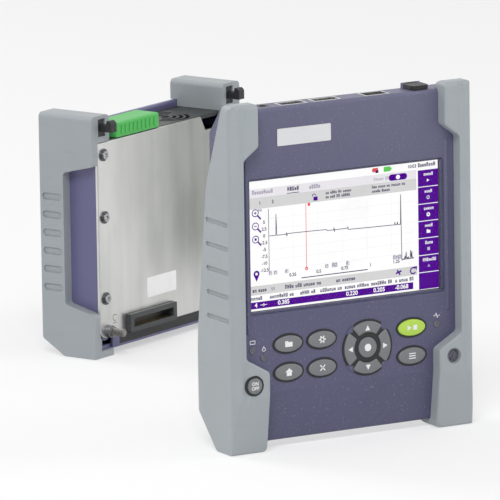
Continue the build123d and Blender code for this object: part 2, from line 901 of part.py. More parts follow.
with BuildPart() as round_sockets_part:
    with BuildSketch(Plane.XY.offset(case_top - round_socket_depth)):
        for place, radius in round_sockets:
            with Locations((place, socket_y)):
                Circle(radius + round_socket_wall)
    extrude(amount=round_socket_depth)
    with BuildSketch(Plane.XY.offset(case_top)):
        for place, radius in round_sockets:
            with Locations((place, socket_y)):
                Circle(radius)
    extrude(amount=socket_wall - round_socket_depth, mode=Mode.SUBTRACT)
    with BuildSketch(Plane.XY.offset(case_top - round_socket_depth)):
        with Locations((barrel_x, socket_y)):
            Circle(barrel_pin_radius)
    extrude(amount=round_socket_depth - socket_wall)

with BuildPart() as charging_flap:
    block(
        (barrel_x - cover_width / 2, barrel_x + cover_width / 2),
        (flap_front_y, flap_pin_y - flap_knuckle_radius - cover_gap),
        (case_top + cover_gap, case_top + cover_gap + cover_thickness),
    )
    fillet(charging_flap.edges().filter_by(Axis.Z).group_by(Axis.Y)[0], radius=2.0)
    block(
        (barrel_x - flap_knuckle_length / 2, barrel_x + flap_knuckle_length / 2),
        (flap_pin_y - flap_knuckle_radius - cover_gap - 0.5, flap_pin_y),
        (case_top + cover_gap, case_top + cover_gap + cover_thickness),
    )
    with Locations(Location((barrel_x, flap_pin_y, flap_pin_z), (0, 90, 0))):
        Cylinder(flap_knuckle_radius, flap_knuckle_length)
        Cylinder(cover_pin_radius + pin_running, flap_knuckle_length, mode=Mode.SUBTRACT)

# Side outlines of the module, on the Y-Z plane
shell_front = metal_thickness + gasket_thickness
shell_back = module_depth - bumper_skin_gap
panel_top = metal_bottom + metal_height + top_panel_gap
module_slope = module_heel_rise / module_heel_run

with BuildSketch(Plane.YZ) as shell_outline:
    with BuildLine():
        Polyline(
            (shell_front, module_foot),
            (module_depth - module_heel_run, module_foot),
            (shell_back, module_foot + module_heel_rise),
            (shell_back, panel_top + rail_rise),
            (shell_back - rail_width_top, panel_top + rail_rise),
            (shell_back - rail_width_top, panel_top),
            (shell_front, panel_top),
            close=True,
        )
    make_face()
    fillet(shell_outline.vertices().filter_by(lambda v: v.Y > panel_top + 1), radius=rail_corner)
    fillet(shell_outline.vertices().filter_by(lambda v: v.X > shell_back - 1 and v.Y < metal_bottom + 5), radius=shell_corner)

with BuildSketch(Plane.YZ) as module_bumper_outline:
    with BuildLine():
        Polyline(
            (0, 0),
            (module_depth - module_heel_run, 0),
            (module_depth, module_heel_rise),
            (module_depth, module_height),
            (0, module_height),
            (0, module_height - module_top_block),
            (module_strip_start, module_height - module_top_block - module_block_slope),
            (module_strip_start, module_low_block + module_block_slope),
            (0, module_low_block),
            close=True,
        )
    make_face()
    fillet(module_bumper_outline.vertices(), radius=2.0)

# Front outline of the metal plate
with BuildSketch(facing(metal_thickness)) as plate_outline:
    with Locations((0, metal_bottom + metal_height / 2)):
        Rectangle(metal_width, metal_height)
    low_corners = plate_outline.vertices().filter_by(lambda v: v.Y < metal_bottom + 1)
    fillet(low_corners, radius=metal_corner)
    with BuildLine():
        Polyline(
            (metal_notch_x, metal_bottom + metal_height),
            (metal_notch_x + metal_notch_slope, metal_bottom + metal_height - metal_notch_depth),
            (metal_notch_x + metal_notch_width, metal_bottom + metal_height - metal_notch_depth),
            (metal_notch_x + metal_notch_width, metal_bottom + metal_height),
            close=True,
        )
    make_face(mode=Mode.SUBTRACT)

plate_screws_at = [(side * plate_screw_x, z) for side in (-1, 1) for z in plate_screw_heights]
studs_at = [(side * stud_x, stud_z) for side in (-1, 1)]
board_posts_at = [
    (side * (module_board_width / 2 - standoff_inset), z)
    for side in (-1, 1)
    for z in (module_board_low + standoff_inset, module_board_low + module_board_height - standoff_inset)
]
adapters_at = [hood_left + hood_width / 2 + side * adapter_pitch / 2 for side in (-1, 1)]
hood_middle = hood_left + hood_width / 2
hood_pin_y = hood_length + hood_pin_back
hood_pin_z = panel_top + hood_knuckle_radius + hood_lift
hood_right = hood_left + hood_width
module_board_front = module_board_y
module_board_back = module_board_y + board_thickness
panel_half = shell_half - shell_wall - top_panel_gap
panel_back = shell_back - rail_width_top - top_panel_gap


def air_slots(radius, z):
    """Outline of the two curved air slots on one radius about the fan."""
    with BuildSketch(Plane.XY.offset(z)) as slots:
        with Locations((fan_x, fan_y)):
            for turn in (90, 270):
                SlotArc(CenterArc((0, 0), radius, turn - slot_span / 2, slot_span), slot_width)
    return slots.sketch


# The hollow of the shell: open at the front, where the plate closes it, and at the top under the panel
with BuildPart() as shell_hollow:
    block(
        (-shell_half + shell_wall, shell_half - shell_wall),
        (shell_front, module_depth - module_heel_run),
        (module_foot + shell_wall, panel_top - rail_rise),
    )
    block(
        (-shell_half + shell_wall, shell_half - shell_wall),
        (module_depth - module_heel_run, shell_back - shell_wall),
        (module_foot + module_heel_rise + shell_wall, panel_top - rail_rise),
    )
    block(
        (-panel_half - top_panel_gap, panel_half + top_panel_gap),
        (shell_front, panel_back + top_panel_gap),
        (panel_top - rail_rise, panel_top),
    )
    # What stands in the hollow: columns for the plate's screws, posts for the board, tunnels of the studs
    for place_x, place_z in plate_screws_at:
        rod(place_x, place_z, column_radius, (shell_front, shell_back), mode=Mode.SUBTRACT)
    for place_x, place_z in board_posts_at:
        rod(place_x, place_z, standoff_radius, (module_board_back, shell_back), mode=Mode.SUBTRACT)
    for place_x, place_z in studs_at:
        rod(place_x, place_z, stud_head_radius + stud_tunnel_wall, (shell_front, shell_back), mode=Mode.SUBTRACT)

with BuildPart() as module_shell:
    extrude(shell_outline.sketch, amount=shell_half, both=True)
    back_edges = module_shell.edges().filter_by(Axis.Z).filter_by(lambda e: e.length > module_height / 2)
    fillet(back_edges.filter_by(lambda e: e.center().Y > module_depth / 2), radius=1.2)
    add(shell_hollow.part, mode=Mode.SUBTRACT)
    # Lower rim in front, below the plate
    block(
        (-module_width / 2 + module_foot_width + bumper_skin_gap, module_width / 2 - module_foot_width - bumper_skin_gap),
        (rim_setback, shell_front),
        (module_foot, metal_bottom - top_panel_gap),
    )
    for place_x, place_z in plate_screws_at:
        rod(place_x, place_z, plate_screw_radius + screw_gap, (shell_front, shell_front + screw_bite), mode=Mode.SUBTRACT)
    for place_x, place_z in studs_at:
        rod(place_x, place_z, stud_head_radius + stud_tunnel_gap, (stud_head_front, module_depth), mode=Mode.SUBTRACT)
        rod(place_x, place_z, bush_radius + bezel_fit, (shell_front, stud_head_front), mode=Mode.SUBTRACT)


def module_bumper_body():
    """The module's left bumper: a side wall with a cap above the shell and a foot below it."""
    with BuildPart() as body:
        extrude(module_bumper_outline.sketch.moved(Location((-module_width / 2, 0, 0))), amount=module_wall - bumper_skin_gap)
        block(
            (-module_width / 2, -module_width / 2 + module_block_width),
            (0, module_depth),
            (panel_top + bumper_skin_gap, module_height),
        )
        block(
            (-module_width / 2, -module_width / 2 + module_foot_width),
            (0, module_depth - module_heel_run),
            (0, module_foot - bumper_skin_gap),
        )
        top_edges = body.edges().filter_by(Axis.Y).group_by(Axis.Z)[-1]
        fillet(top_edges, radius=2.6)
        # Room for the plate's edge and for the rail behind the panel
        block(
            (-metal_width / 2 - bumper_skin_gap, 0),
            (-1, shell_front),
            (metal_bottom - bumper_skin_gap, metal_bottom + metal_height + bumper_skin_gap),
            mode=Mode.SUBTRACT,
        )
        block(
            (-shell_half - bumper_skin_gap, 0),
            (panel_back, module_depth),
            (panel_top - 1, panel_top + rail_rise + bumper_skin_gap),
            mode=Mode.SUBTRACT,
        )
        # Ribs along the strip
        with BuildSketch(Plane.YZ.offset(-module_width / 2)):
            with Locations(
                ((module_strip_start + module_depth) / 2, module_rib_low + module_rib_pitch * (module_rib_count - 1) / 2)
            ):
                with GridLocations(1, module_rib_pitch, 1, module_rib_count):
                    SlotOverall(module_depth - module_strip_start - 3, module_rib_pitch * 0.4)
        extrude(amount=module_rib_depth, mode=Mode.SUBTRACT)
        # Slot that holds the hook
        block(
            (-hook_x - hook_slot_width / 2, -hook_x + hook_slot_width / 2),
            (-1, hook_body_depth + hook_gap),
            (hook_z - hook_body_height / 2 - hook_gap, hook_z + hook_body_height / 2 + hook_gap),
            mode=Mode.SUBTRACT,
        )
    return body


with BuildPart() as module_left_bumper:
    add(module_bumper_body().part)

with BuildPart() as module_right_bumper:
    mirror(module_bumper_body().part, about=Plane.YZ)

with BuildPart() as module_hooks:
    for side in (-1, 1):
        with BuildSketch(Plane.YZ.offset(side * hook_x - hook_thickness / 2)):
            with BuildLine():
                Polyline(
                    (hook_body_depth, hook_z - hook_body_height / 2),
                    (0.6, hook_z - hook_body_height / 2),
                    (0.6, hook_z - hook_bar / 2 - 1),
                    (0, hook_z - hook_bar / 2),
                    (-hook_reach, hook_z - hook_bar / 2),
                    (-hook_reach, hook_z + hook_bar / 2 + hook_tip / 2),
                    (-hook_reach + 1.4, hook_z + hook_bar / 2 + hook_tip),
                    (-hook_reach + 3.0, hook_z + hook_bar / 2 + hook_tip),
                    (-hook_reach + 3.6, hook_z + hook_bar / 2),
                    (0.6, hook_z + hook_bar / 2),
                    (0.6, hook_z + hook_body_height / 2),
                    (hook_body_depth, hook_z + hook_body_height / 2),
                    close=True,
                )
            make_face()
        extrude(amount=hook_thickness)

with BuildPart() as module_plate:
    extrude(plate_outline.sketch, amount=metal_thickness)
    chamfer(module_plate.faces().sort_by(Axis.Y)[0].edges(), length=0.3)
    block(
        (connector_x - connector_width / 2 - socket_fit, connector_x + connector_width / 2 + socket_fit),
        (0, metal_thickness),
        (connector_z - connector_height / 2 - socket_fit, connector_z + connector_height / 2 + socket_fit),
        mode=Mode.SUBTRACT,
    )
    for place_x, place_z in studs_at:
        rod(place_x, place_z, bush_radius + bezel_fit, (0, metal_thickness), mode=Mode.SUBTRACT)
    for place_x, place_z in plate_screws_at:
        rod(place_x, place_z, plate_screw_radius + socket_fit, (0, metal_thickness), mode=Mode.SUBTRACT)

with BuildPart() as module_gasket:
    with BuildSketch(facing(shell_front)):
        with Locations((0, metal_bottom + metal_height / 2)):
            Rectangle(2 * shell_half, metal_height)
            Rectangle(2 * (shell_half - gasket_width), metal_height - 2 * gasket_width, mode=Mode.SUBTRACT)
    extrude(amount=gasket_thickness)
    for place_x, place_z in studs_at:
        rod(place_x, place_z, bush_radius + bezel_fit, (0, shell_front), mode=Mode.SUBTRACT)
    block(
        (connector_x - connector_width / 2 - socket_fit, connector_x + connector_width / 2 + socket_fit),
        (0, shell_front),
        (metal_bottom, connector_z),
        mode=Mode.SUBTRACT,
    )

with BuildPart() as plate_screws:
    for place_x, place_z in plate_screws_at:
        rod(place_x, place_z, plate_screw_head, (-washer_thickness - plate_screw_head_height, -washer_thickness))
        rod(place_x, place_z, plate_screw_radius, (-washer_thickness, shell_front + screw_bite))
        with BuildSketch(facing(-washer_thickness - plate_screw_head_height)):
            with Locations((place_x, place_z)):
                RegularPolygon(radius=1.1, side_count=6)
        extrude(amount=-0.8, mode=Mode.SUBTRACT)

with BuildPart() as plate_washers:
    for place_x, place_z in plate_screws_at:
        rod(place_x, place_z, washer_radius, (-washer_thickness, 0))
        rod(place_x, place_z, plate_screw_radius + socket_fit, (-washer_thickness, 0), mode=Mode.SUBTRACT)

with BuildPart() as screw_bushes:
    for place_x, place_z in studs_at:
        rod(place_x, place_z, bush_radius, (-bush_reach, stud_head_front))
        rod(place_x, place_z, stud_shank_radius + stud_running, (-bush_reach, stud_head_front), mode=Mode.SUBTRACT)
    fillet(screw_bushes.faces().group_by(Axis.Y)[0].edges().filter_by(lambda e: e.radius > bush_radius - 0.1), radius=0.5)


def captive_screw(place_x):
    """A captive screw: threaded stem through the bush, and a slotted head in its tunnel."""
    with BuildPart() as screw:
        rod(place_x, stud_z, stud_radius, (-stud_reach, -stud_shoulder))
        chamfer(screw.faces().sort_by(Axis.Y)[0].edges(), length=stud_tip)
        rod(place_x, stud_z, stud_shank_radius, (-stud_shoulder, stud_head_front))
        rod(place_x, stud_z, stud_head_radius, (stud_head_front + stud_seat_gap, stud_head_front + stud_seat_gap + stud_head_height))
        rod(place_x, stud_z, stud_radius, (stud_head_front - 1, stud_head_front + 1))
        block(
            (place_x - stud_head_radius, place_x + stud_head_radius),
            (stud_head_front + stud_seat_gap + stud_head_height - 1.2, stud_head_front + stud_seat_gap + stud_head_height),
            (stud_z - 0.5, stud_z + 0.5),
            mode=Mode.SUBTRACT,
        )
    return screw


captive_screw_left = captive_screw(-stud_x)
captive_screw_right = captive_screw(stud_x)

with BuildPart() as module_connector:
    block(
        (connector_x - connector_width / 2, connector_x + connector_width / 2),
        (-connector_reach, module_board_front),
        (connector_z - connector_height / 2, connector_z + connector_height / 2),
    )
    fillet(module_connector.edges().filter_by(Axis.Y), radius=0.6)
    block(
        (connector_x - connector_width / 2 + connector_slot_margin, connector_x + connector_width / 2 - connector_slot_margin),
        (-connector_reach, connector_slot_depth - connector_reach),
        (connector_z - connector_slot_height / 2, connector_z + connector_slot_height / 2),
        mode=Mode.SUBTRACT,
    )

with BuildPart() as blank_label:
    with BuildSketch(facing(0)):
        with Locations((label_x, label_z)):
            RectangleRounded(label_width, label_height, 0.8)
    extrude(amount=label_thickness)

with BuildPart() as module_board:
    block(
        (-module_board_width / 2, module_board_width / 2),
        (module_board_front, module_board_back),
        (module_board_low, module_board_low + module_board_height),
    )

with BuildPart() as optics_block:
    block(
        (optics_x - optics_width / 2, optics_x + optics_width / 2),
        (module_board_back, module_board_back + optics_depth),
        (optics_z - optics_height / 2, optics_z + optics_height / 2),
    )
    fillet(optics_block.edges().filter_by(Axis.Y), radius=1.5)

with BuildPart() as module_top_panel:
    block((-panel_half, panel_half), (shell_front, panel_back), (panel_top - top_panel_thickness, panel_top))
    # Air slots and hub opening above the fan
    for radius in slot_radii:
        extrude(air_slots(radius, panel_top), amount=-top_panel_thickness, mode=Mode.SUBTRACT)
    with Locations((fan_x, fan_y, panel_top)):
        Cylinder(hub_window_radius, 2 * top_panel_thickness, mode=Mode.SUBTRACT)
    # Openings for the optical adapters
    for place in adapters_at:
        block(
            (place - adapter_width / 2 - socket_fit, place + adapter_width / 2 + socket_fit),
            (adapter_y - adapter_length / 2 - socket_fit, adapter_y + adapter_length / 2 + socket_fit),
            (panel_top - top_panel_thickness, panel_top),
            mode=Mode.SUBTRACT,
        )
    # Ears that hold the hood's pin
    with BuildSketch(Plane.YZ.offset(hood_middle - hood_ear_span / 2)) as hood_ear:
        with Locations((hood_pin_y, hood_pin_z)):
            Circle(hood_knuckle_radius)
        with Locations((hood_pin_y, (hood_pin_z + panel_top - 0.5) / 2)):
            Rectangle(2 * hood_knuckle_radius, hood_pin_z - panel_top + 0.5)
        with Locations((hood_pin_y, hood_pin_z)):
            Circle(hood_pin_radius, mode=Mode.SUBTRACT)
    extrude(amount=hood_ear_width)
    extrude(hood_ear.sketch.moved(Location((hood_ear_span - hood_ear_width, 0, 0))), amount=hood_ear_width)

with BuildPart() as hood_pin:
    with Locations(Location((hood_middle, hood_pin_y, hood_pin_z), (0, 90, 0))):
        Cylinder(hood_pin_radius, hood_ear_span)

with BuildPart() as port_hood:
    block((hood_left, hood_right), (hood_front, hood_length), (panel_top + hood_lift, panel_top + hood_height))
    fillet(port_hood.edges().filter_by(Axis.Z), radius=hood_corner)
    fillet(port_hood.faces().sort_by(Axis.Z)[-1].edges(), radius=hood_corner - 0.3)
    block(
        (hood_left + hood_wall, hood_right - hood_wall),
        (hood_front + hood_wall, hood_length - hood_wall),
        (panel_top, panel_top + hood_height - hood_wall),
        mode=Mode.SUBTRACT,
    )
    # Ribs down its front, which give the finger a hold
    with BuildSketch(facing(hood_front)):
        with Locations((hood_middle, panel_top + hood_height / 2)):
            with GridLocations(hood_rib_pitch, 1, hood_rib_count, 1):
                RectangleRounded(hood_rib_width, hood_height - 3.2, 0.5)
    extrude(amount=hood_rib_proud)
    # Knuckle round the pin
    block(
        (hood_middle - hood_knuckle_length / 2, hood_middle + hood_knuckle_length / 2),
        (hood_length - hood_wall, hood_pin_y),
        (panel_top + hood_lift, hood_pin_z + hood_knuckle_radius),
    )
    with Locations(Location((hood_middle, hood_pin_y, hood_pin_z), (0, 90, 0))):
        Cylinder(hood_knuckle_radius, hood_knuckle_length)
        Cylinder(hood_pin_radius + pin_running, hood_knuckle_length, mode=Mode.SUBTRACT)

with BuildPart() as optical_adapters:
    for place in adapters_at:
        block(
            (place - adapter_width / 2, place + adapter_width / 2),
            (adapter_y - adapter_length / 2, adapter_y + adapter_length / 2),
            (panel_top + adapter_proud - adapter_depth, panel_top + adapter_proud),
        )
        block(
            (place - adapter_cavity_width / 2, place + adapter_cavity_width / 2),
            (adapter_y - adapter_cavity_length / 2, adapter_y + adapter_cavity_length / 2),
            (panel_top + adapter_proud - adapter_cavity_depth, panel_top + adapter_proud),
            mode=Mode.SUBTRACT,
        )

with BuildPart() as adapter_sleeves:
    with BuildSketch(Plane.XY.offset(panel_top + adapter_proud - adapter_cavity_depth)):
        for place in adapters_at:
            with Locations((place, adapter_y)):
                Circle(sleeve_radius)
                Circle(ferrule_radius, mode=Mode.SUBTRACT)
    extrude(amount=sleeve_length)

with BuildPart() as fan_frame:
    with BuildSketch(Plane.XY.offset(panel_top - top_panel_thickness - fan_depth)) as frame_outline:
        with Locations((fan_x, fan_y)):
            RectangleRounded(fan_size, fan_size, 2.0)
            Circle(fan_bore, mode=Mode.SUBTRACT)
    extrude(amount=fan_depth)
    with BuildSketch(Plane.XY.offset(panel_top - top_panel_thickness - fan_depth)):
        with Locations((fan_x, fan_y)):
            Circle(fan_hub_radius)
            for turn in (0, 120, 240):
                with Locations(Location((fan_bore / 2 * cos(radians(turn)), fan_bore / 2 * sin(radians(turn))), turn)):
                    Rectangle(fan_bore + 1, 1.6)
    extrude(amount=fan_floor)
    with Locations((fan_x, fan_y, panel_top - top_panel_thickness - fan_depth + fan_floor + fan_pin_length / 2)):
        Cylinder(fan_pin_radius, fan_pin_length)

with BuildPart() as fan_rotor:
    rotor_low = panel_top - top_panel_thickness - fan_depth + fan_floor + fan_clearance
    rotor_height = fan_depth - fan_floor - 2 * fan_clearance
    with BuildSketch(Plane.XY.offset(rotor_low)):
        with Locations((fan_x, fan_y)):
            with PolarLocations(0, fan_blades):
                with Locations(((fan_hub_radius + fan_rotor_radius) / 2 - 0.3, 1.6)):
                    Rectangle(fan_rotor_radius - fan_hub_radius, fan_blade_thickness, rotation=24)
            Circle(fan_hub_radius)
    extrude(amount=rotor_height)
    with Locations((fan_x, fan_y, rotor_low + (rotor_height - 1) / 2)):
        Cylinder(fan_pin_radius + pin_running, rotor_height - 1, mode=Mode.SUBTRACT)

# The pair on its floor, about the middle of its box
turned_x = module_width / 2 * cos(radians(module_turn))
turned_y = module_width / 2 * sin(radians(module_turn)) + module_depth * cos(radians(module_turn))
centre_x = (-base_width / 2 + module_shift_x + turned_x) / 2
centre_y = (-base_depth / 2 + module_shift_y + turned_y) / 2
at_base = Location((-centre_x, -centre_y, 0))
at_module = Location((module_shift_x - centre_x, module_shift_y - centre_y, 0), (0, 0, module_turn))

os.makedirs("parts", exist_ok=True)
base_pieces = {
    "front_case": front_case,
    "rear_case": rear_case,
    "left_bumper": left_bumper,
    "right_bumper": right_bumper,
    "microphone_mesh": microphone_mesh,
    "touch_glass": touch_glass,
    "display_gasket": display_gasket,
    "display_panel": display_panel,
    "name_plate": name_plate,
    "key_bezels": key_bezels,
    **keys,
    "key_power": key_power,
    "status_lenses": status_lenses,
    "key_mat": key_mat,
    "main_board": main_board,
    "battery_pack": battery_pack,
    "battery_door": battery_door,
    "case_screws": case_screws,
    "dock_inserts": dock_inserts,
    "dock_socket": dock_socket,
    "network_socket": network_socket,
    "usb_sockets": usb_sockets,
    "round_sockets": round_sockets_part,
    "charging_flap": charging_flap,
}
module_pieces = {
    "module_shell": module_shell,
    "module_left_bumper": module_left_bumper,
    "module_right_bumper": module_right_bumper,
    "module_hooks": module_hooks,
    "module_plate": module_plate,
    "module_gasket": module_gasket,
    "plate_screws": plate_screws,
    "plate_washers": plate_washers,
    "screw_bushes": screw_bushes,
    "captive_screw_left": captive_screw_left,
    "captive_screw_right": captive_screw_right,
    "module_connector": module_connector,
    "blank_label": blank_label,
    "module_board": module_board,
    "optics_block": optics_block,
    "module_top_panel": module_top_panel,
    "hood_pin": hood_pin,
    "port_hood": port_hood,
    "optical_adapters": optical_adapters,
    "adapter_sleeves": adapter_sleeves,
    "fan_frame": fan_frame,
    "fan_rotor": fan_rotor,
}
for name, piece in base_pieces.items():
    save(piece, name, at_base)
for name, piece in module_pieces.items():
    save(piece, name, at_module)
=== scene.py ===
# %% [markdown]
# # An optical fibre tester and its test module
# The tester is a handheld base unit with a touch screen, a dozen keys and two rubber bumpers. Its test
# module stands detached behind it, with the bare metal plate that docks on the base unit's back.
# The shapes come as fixed solids. This lesson adds what light sees: finishes made from nodes, the lit
# picture on the display, and the printed symbols on the keys.

# %% Load the solids
from math import cos, pi, radians, sin
from random import Random

import bpy
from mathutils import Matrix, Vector


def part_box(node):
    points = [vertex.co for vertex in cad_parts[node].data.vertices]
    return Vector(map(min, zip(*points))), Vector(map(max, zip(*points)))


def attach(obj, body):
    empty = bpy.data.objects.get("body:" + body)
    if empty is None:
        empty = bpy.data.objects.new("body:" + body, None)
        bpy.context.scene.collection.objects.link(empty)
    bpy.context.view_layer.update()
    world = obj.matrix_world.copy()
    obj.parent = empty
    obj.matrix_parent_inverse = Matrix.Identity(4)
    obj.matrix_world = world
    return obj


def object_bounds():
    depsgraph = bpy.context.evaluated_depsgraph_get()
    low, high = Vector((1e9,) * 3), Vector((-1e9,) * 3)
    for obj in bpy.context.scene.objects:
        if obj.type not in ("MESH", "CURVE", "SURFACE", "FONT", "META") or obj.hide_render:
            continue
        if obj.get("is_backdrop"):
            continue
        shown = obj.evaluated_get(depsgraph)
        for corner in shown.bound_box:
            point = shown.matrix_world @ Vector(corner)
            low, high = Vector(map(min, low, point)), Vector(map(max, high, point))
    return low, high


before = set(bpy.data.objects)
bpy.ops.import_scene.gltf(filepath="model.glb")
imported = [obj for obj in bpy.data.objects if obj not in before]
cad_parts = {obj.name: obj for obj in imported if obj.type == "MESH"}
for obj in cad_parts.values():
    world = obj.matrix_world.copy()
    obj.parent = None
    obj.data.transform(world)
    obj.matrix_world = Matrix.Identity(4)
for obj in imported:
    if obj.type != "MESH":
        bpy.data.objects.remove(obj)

solid_low, solid_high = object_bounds()
print("solids:", len(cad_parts), "pieces, box", [round(v, 3) for v in solid_high - solid_low])

# %% [markdown]
# ## Arithmetic for shaders
# A finish such as moulded plastic is a sum of simple patterns: grain plus mottling plus a little dirt.
# Nodes could be added one by one, but then each sum takes three lines. Here a small class wraps a
# socket, so that an expression such as 0.4 + 0.1 * grain adds its own Math nodes. Colours go through
# Mix and vectors through Vector Math, because a Math node would turn a colour grey.

# %% A socket that can be added and multiplied
class Signal:
    """An output of a finish's node tree, used in Python expressions."""

    def __init__(self, finish, socket):
        self.finish = finish
        self.socket = socket

    def math(self, operation, first, second=0.0):
        return self.finish.node("ShaderNodeMath", {"operation": operation}, {0: first, 1: second})

    def __add__(self, other):
        return self.math("ADD", self, other)

    def __radd__(self, other):
        return self.math("ADD", other, self)

    def __sub__(self, other):
        return self.math("SUBTRACT", self, other)

    def __rsub__(self, other):
        return self.math("SUBTRACT", other, self)

    def __mul__(self, other):
        return self.math("MULTIPLY", self, other)

    def __rmul__(self, other):
        return self.math("MULTIPLY", other, self)

    def sine(self):
        return self.finish.node("ShaderNodeMath", {"operation": "SINE"}, {0: self})

    def clamped(self):
        return self.finish.node("ShaderNodeClamp", {}, {"Value": self})

    def between(self, low, high):
        """0 below low, 1 above high, and smooth between them."""
        settings = {"interpolation_type": "SMOOTHSTEP"}
        sockets = {"Value": self, "From Min": low, "From Max": high, "To Min": 0.0, "To Max": 1.0}
        return self.finish.node("ShaderNodeMapRange", settings, sockets)


class Finish:
    """A material whose surface is one Principled shader."""

    def __init__(self, name, **constants):
        self.material = bpy.data.materials.new(name)
        self.material.use_nodes = True
        self.tree = self.material.node_tree
        self.shader = self.tree.nodes["Principled BSDF"]
        self.set(**constants)
        self.place = self.node("ShaderNodeTexCoord", {}, {}, "Object")

    def plug(self, socket, value):
        if isinstance(value, Signal):
            self.tree.links.new(value.socket, socket)
        elif isinstance(value, (tuple, list)) and len(socket.default_value) == 4 and len(value) == 3:
            socket.default_value = (*value, 1.0)
        else:
            socket.default_value = value

    def node(self, kind, settings, sockets, output=None):
        """Add a node: its settings first, then the values or links of its sockets."""
        made = self.tree.nodes.new(kind)
        for key, value in settings.items():
            setattr(made, key, value)
        for key, value in sockets.items():
            self.plug(made.inputs[key], value)
        found = made.outputs[output] if output else next(o for o in made.outputs if o.enabled)
        return Signal(self, found)

    def set(self, **values):
        """Constants and links of the shader: base_color means the socket Base Color."""
        for key, value in values.items():
            name = " ".join(word.capitalize() for word in key.split("_")).replace("Ior", "IOR")
            self.plug(self.shader.inputs[name], value)
        return self

    def noise(self, size, detail=2.0, stretch=(1, 1, 1), roughness=0.5):
        """Noise whose blobs are about size metres across."""
        squeezed = {0: self.place, 1: stretch}
        place = self.node("ShaderNodeVectorMath", {"operation": "MULTIPLY"}, squeezed)
        sockets = {"Vector": place, "Scale": 1 / size, "Detail": detail, "Roughness": roughness}
        return self.node("ShaderNodeTexNoise", {}, sockets, "Fac")

    def along(self, direction):
        """How far each point lies along a direction, in metres."""
        sockets = {0: self.place, 1: direction}
        return self.node("ShaderNodeVectorMath", {"operation": "DOT_PRODUCT"}, sockets, "Value")

    def cells(self, size):
        """0 in the middle of round cells about size metres across, rising to their edges."""
        return self.node("ShaderNodeTexVoronoi", {}, {"Vector": self.place, "Scale": 1 / size}, "Distance")

    def blend(self, share, first, second):
        """A colour between two colours."""
        made = self.tree.nodes.new("ShaderNodeMix")
        made.data_type = "RGBA"
        for index, value in ((0, share), (6, first), (7, second)):
            self.plug(made.inputs[index], value)
        return Signal(self, made.outputs[2])

    def bump(self, height, distance, strength=1.0):
        sockets = {"Height": height, "Distance": distance, "Strength": strength}
        self.set(normal=self.node("ShaderNodeBump", {}, sockets))
        return self


print("arithmetic ready")

# %% [markdown]
# ## Moulded plastic
# The case is moulded in slate violet plastic with a fine etched grain: spark erosion leaves that grain
# in the mould so that fingerprints don't show. Noise about 0.4 mm across, used as bump, gives the
# grain. A second, far larger noise shifts the colour a little, as handling does.

# %% The plastics
def moulded(name, colour, roughness, grain_size=0.0004, depth=0.00004, mottling=0.12, shine=0.5):
    """Plastic with an etched grain, slight mottling and a few duller patches."""
    finish = Finish(name, specular_ior_level=shine)
    grain = finish.noise(grain_size, 3.0)
    cloud = finish.noise(0.018, 4.0)
    smear = finish.noise(0.006, 5.0, (1, 1, 0.35)).between(0.5, 0.75)
    dark = tuple(c * (1 - mottling) for c in colour)
    light = tuple(c * (1 + mottling) for c in colour)
    finish.tone = finish.blend(0.7 * cloud + 0.3 * grain, dark, light)
    finish.set(base_color=finish.tone)
    finish.set(roughness=(roughness + 0.10 * (cloud - 0.5) + 0.06 * smear).clamped())
    return finish.bump(grain, depth)


violet = moulded("violet_plastic", (0.125, 0.122, 0.240), 0.34)
black = moulded("black_plastic", (0.012, 0.012, 0.014), 0.42)
dark_panel = moulded("panel_plastic", (0.026, 0.030, 0.030), 0.45, 0.0006)
# Pale grey plastic for the painted highlights on the lamps' lenses.
lens_glint_grey = moulded("lens_rim_plastic", (0.185, 0.20, 0.205), 0.34, 0.0003, 0.00002, 0.06, 0.6)
socket_grey = moulded("connector_plastic", (0.040, 0.044, 0.046), 0.38, 0.0005)
hood_green = moulded("hood_plastic", (0.070, 0.46, 0.090), 0.40, 0.0005, 0.00003, 0.08)
adapter_blue = moulded("adapter_plastic", (0.02, 0.09, 0.35), 0.4)
ceramic = moulded("sleeve_ceramic", (0.82, 0.82, 0.78), 0.2, 0.0002, 0.00001, 0.02, 0.7)
print("plastics:", [f.material.name for f in (violet, black, lens_glint_grey, hood_green)])

# %% The case's slate plastic, with pale flecks and painted light on its upper right
slate = moulded("slate_plastic", (0.084, 0.085, 0.158), 0.44)
case_low, case_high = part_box("front_case")
case_span = (case_high - case_low).length
# Painted light: the case's colour is blended towards a paler slate over its upper right.
lift = (slate.along((0.35 / case_span, 0, 1.2 / case_span)) - 0.2).between(0.2, 1.1)
painted_light_tone = slate.blend(0.55 * lift, slate.tone, (0.17, 0.17, 0.25))
flecks = slate.noise(0.0011, 2.0).between(0.60, 0.72)
slate.set(base_color=slate.blend(0.36 * flecks, painted_light_tone, (0.27, 0.27, 0.37)))
print("slate plastic over", round(case_span, 3), "m")

# %% [markdown]
# ## Rubber
# The bumpers are a pale grey rubber moulded over a stiffer core. Rubber scatters light softly and
# marks easily, so it gets a high roughness, a faint sheen, and scuffs that are a little darker. The
# scuffs are the peaks of a noise stretched sideways, the way a bumper drags along a bench.

# %% The rubbers
def rubber(name, colour, roughness, scuffs=0.10):
    """Soft rubber, dull and cloudy, with scuffs darker by a share."""
    finish = Finish(name, sheen_weight=0.15, sheen_roughness=0.5, specular_ior_level=0.35)
    grain = finish.noise(0.00055, 3.0)
    cloud = finish.noise(0.025, 4.0)
    scuff = finish.noise(0.004, 6.0, (0.25, 0.25, 1.6)).between(0.60, 0.78)
    clean = finish.blend(cloud, tuple(c * 0.93 for c in colour), tuple(c * 1.06 for c in colour))
    finish.set(base_color=finish.blend(scuffs * scuff, clean, tuple(c * 0.45 for c in colour)))
    finish.set(roughness=(roughness + 0.12 * (cloud - 0.5) - 0.08 * scuff).clamped())
    return finish.bump(grain + 0.5 * scuff, 0.00005)


grey_rubber = rubber("grey_rubber", (0.335, 0.365, 0.385), 0.46)
black_rubber = rubber("black_rubber", (0.014, 0.014, 0.015), 0.6, 0.05)
print("rubbers:", grey_rubber.material.name, black_rubber.material.name)

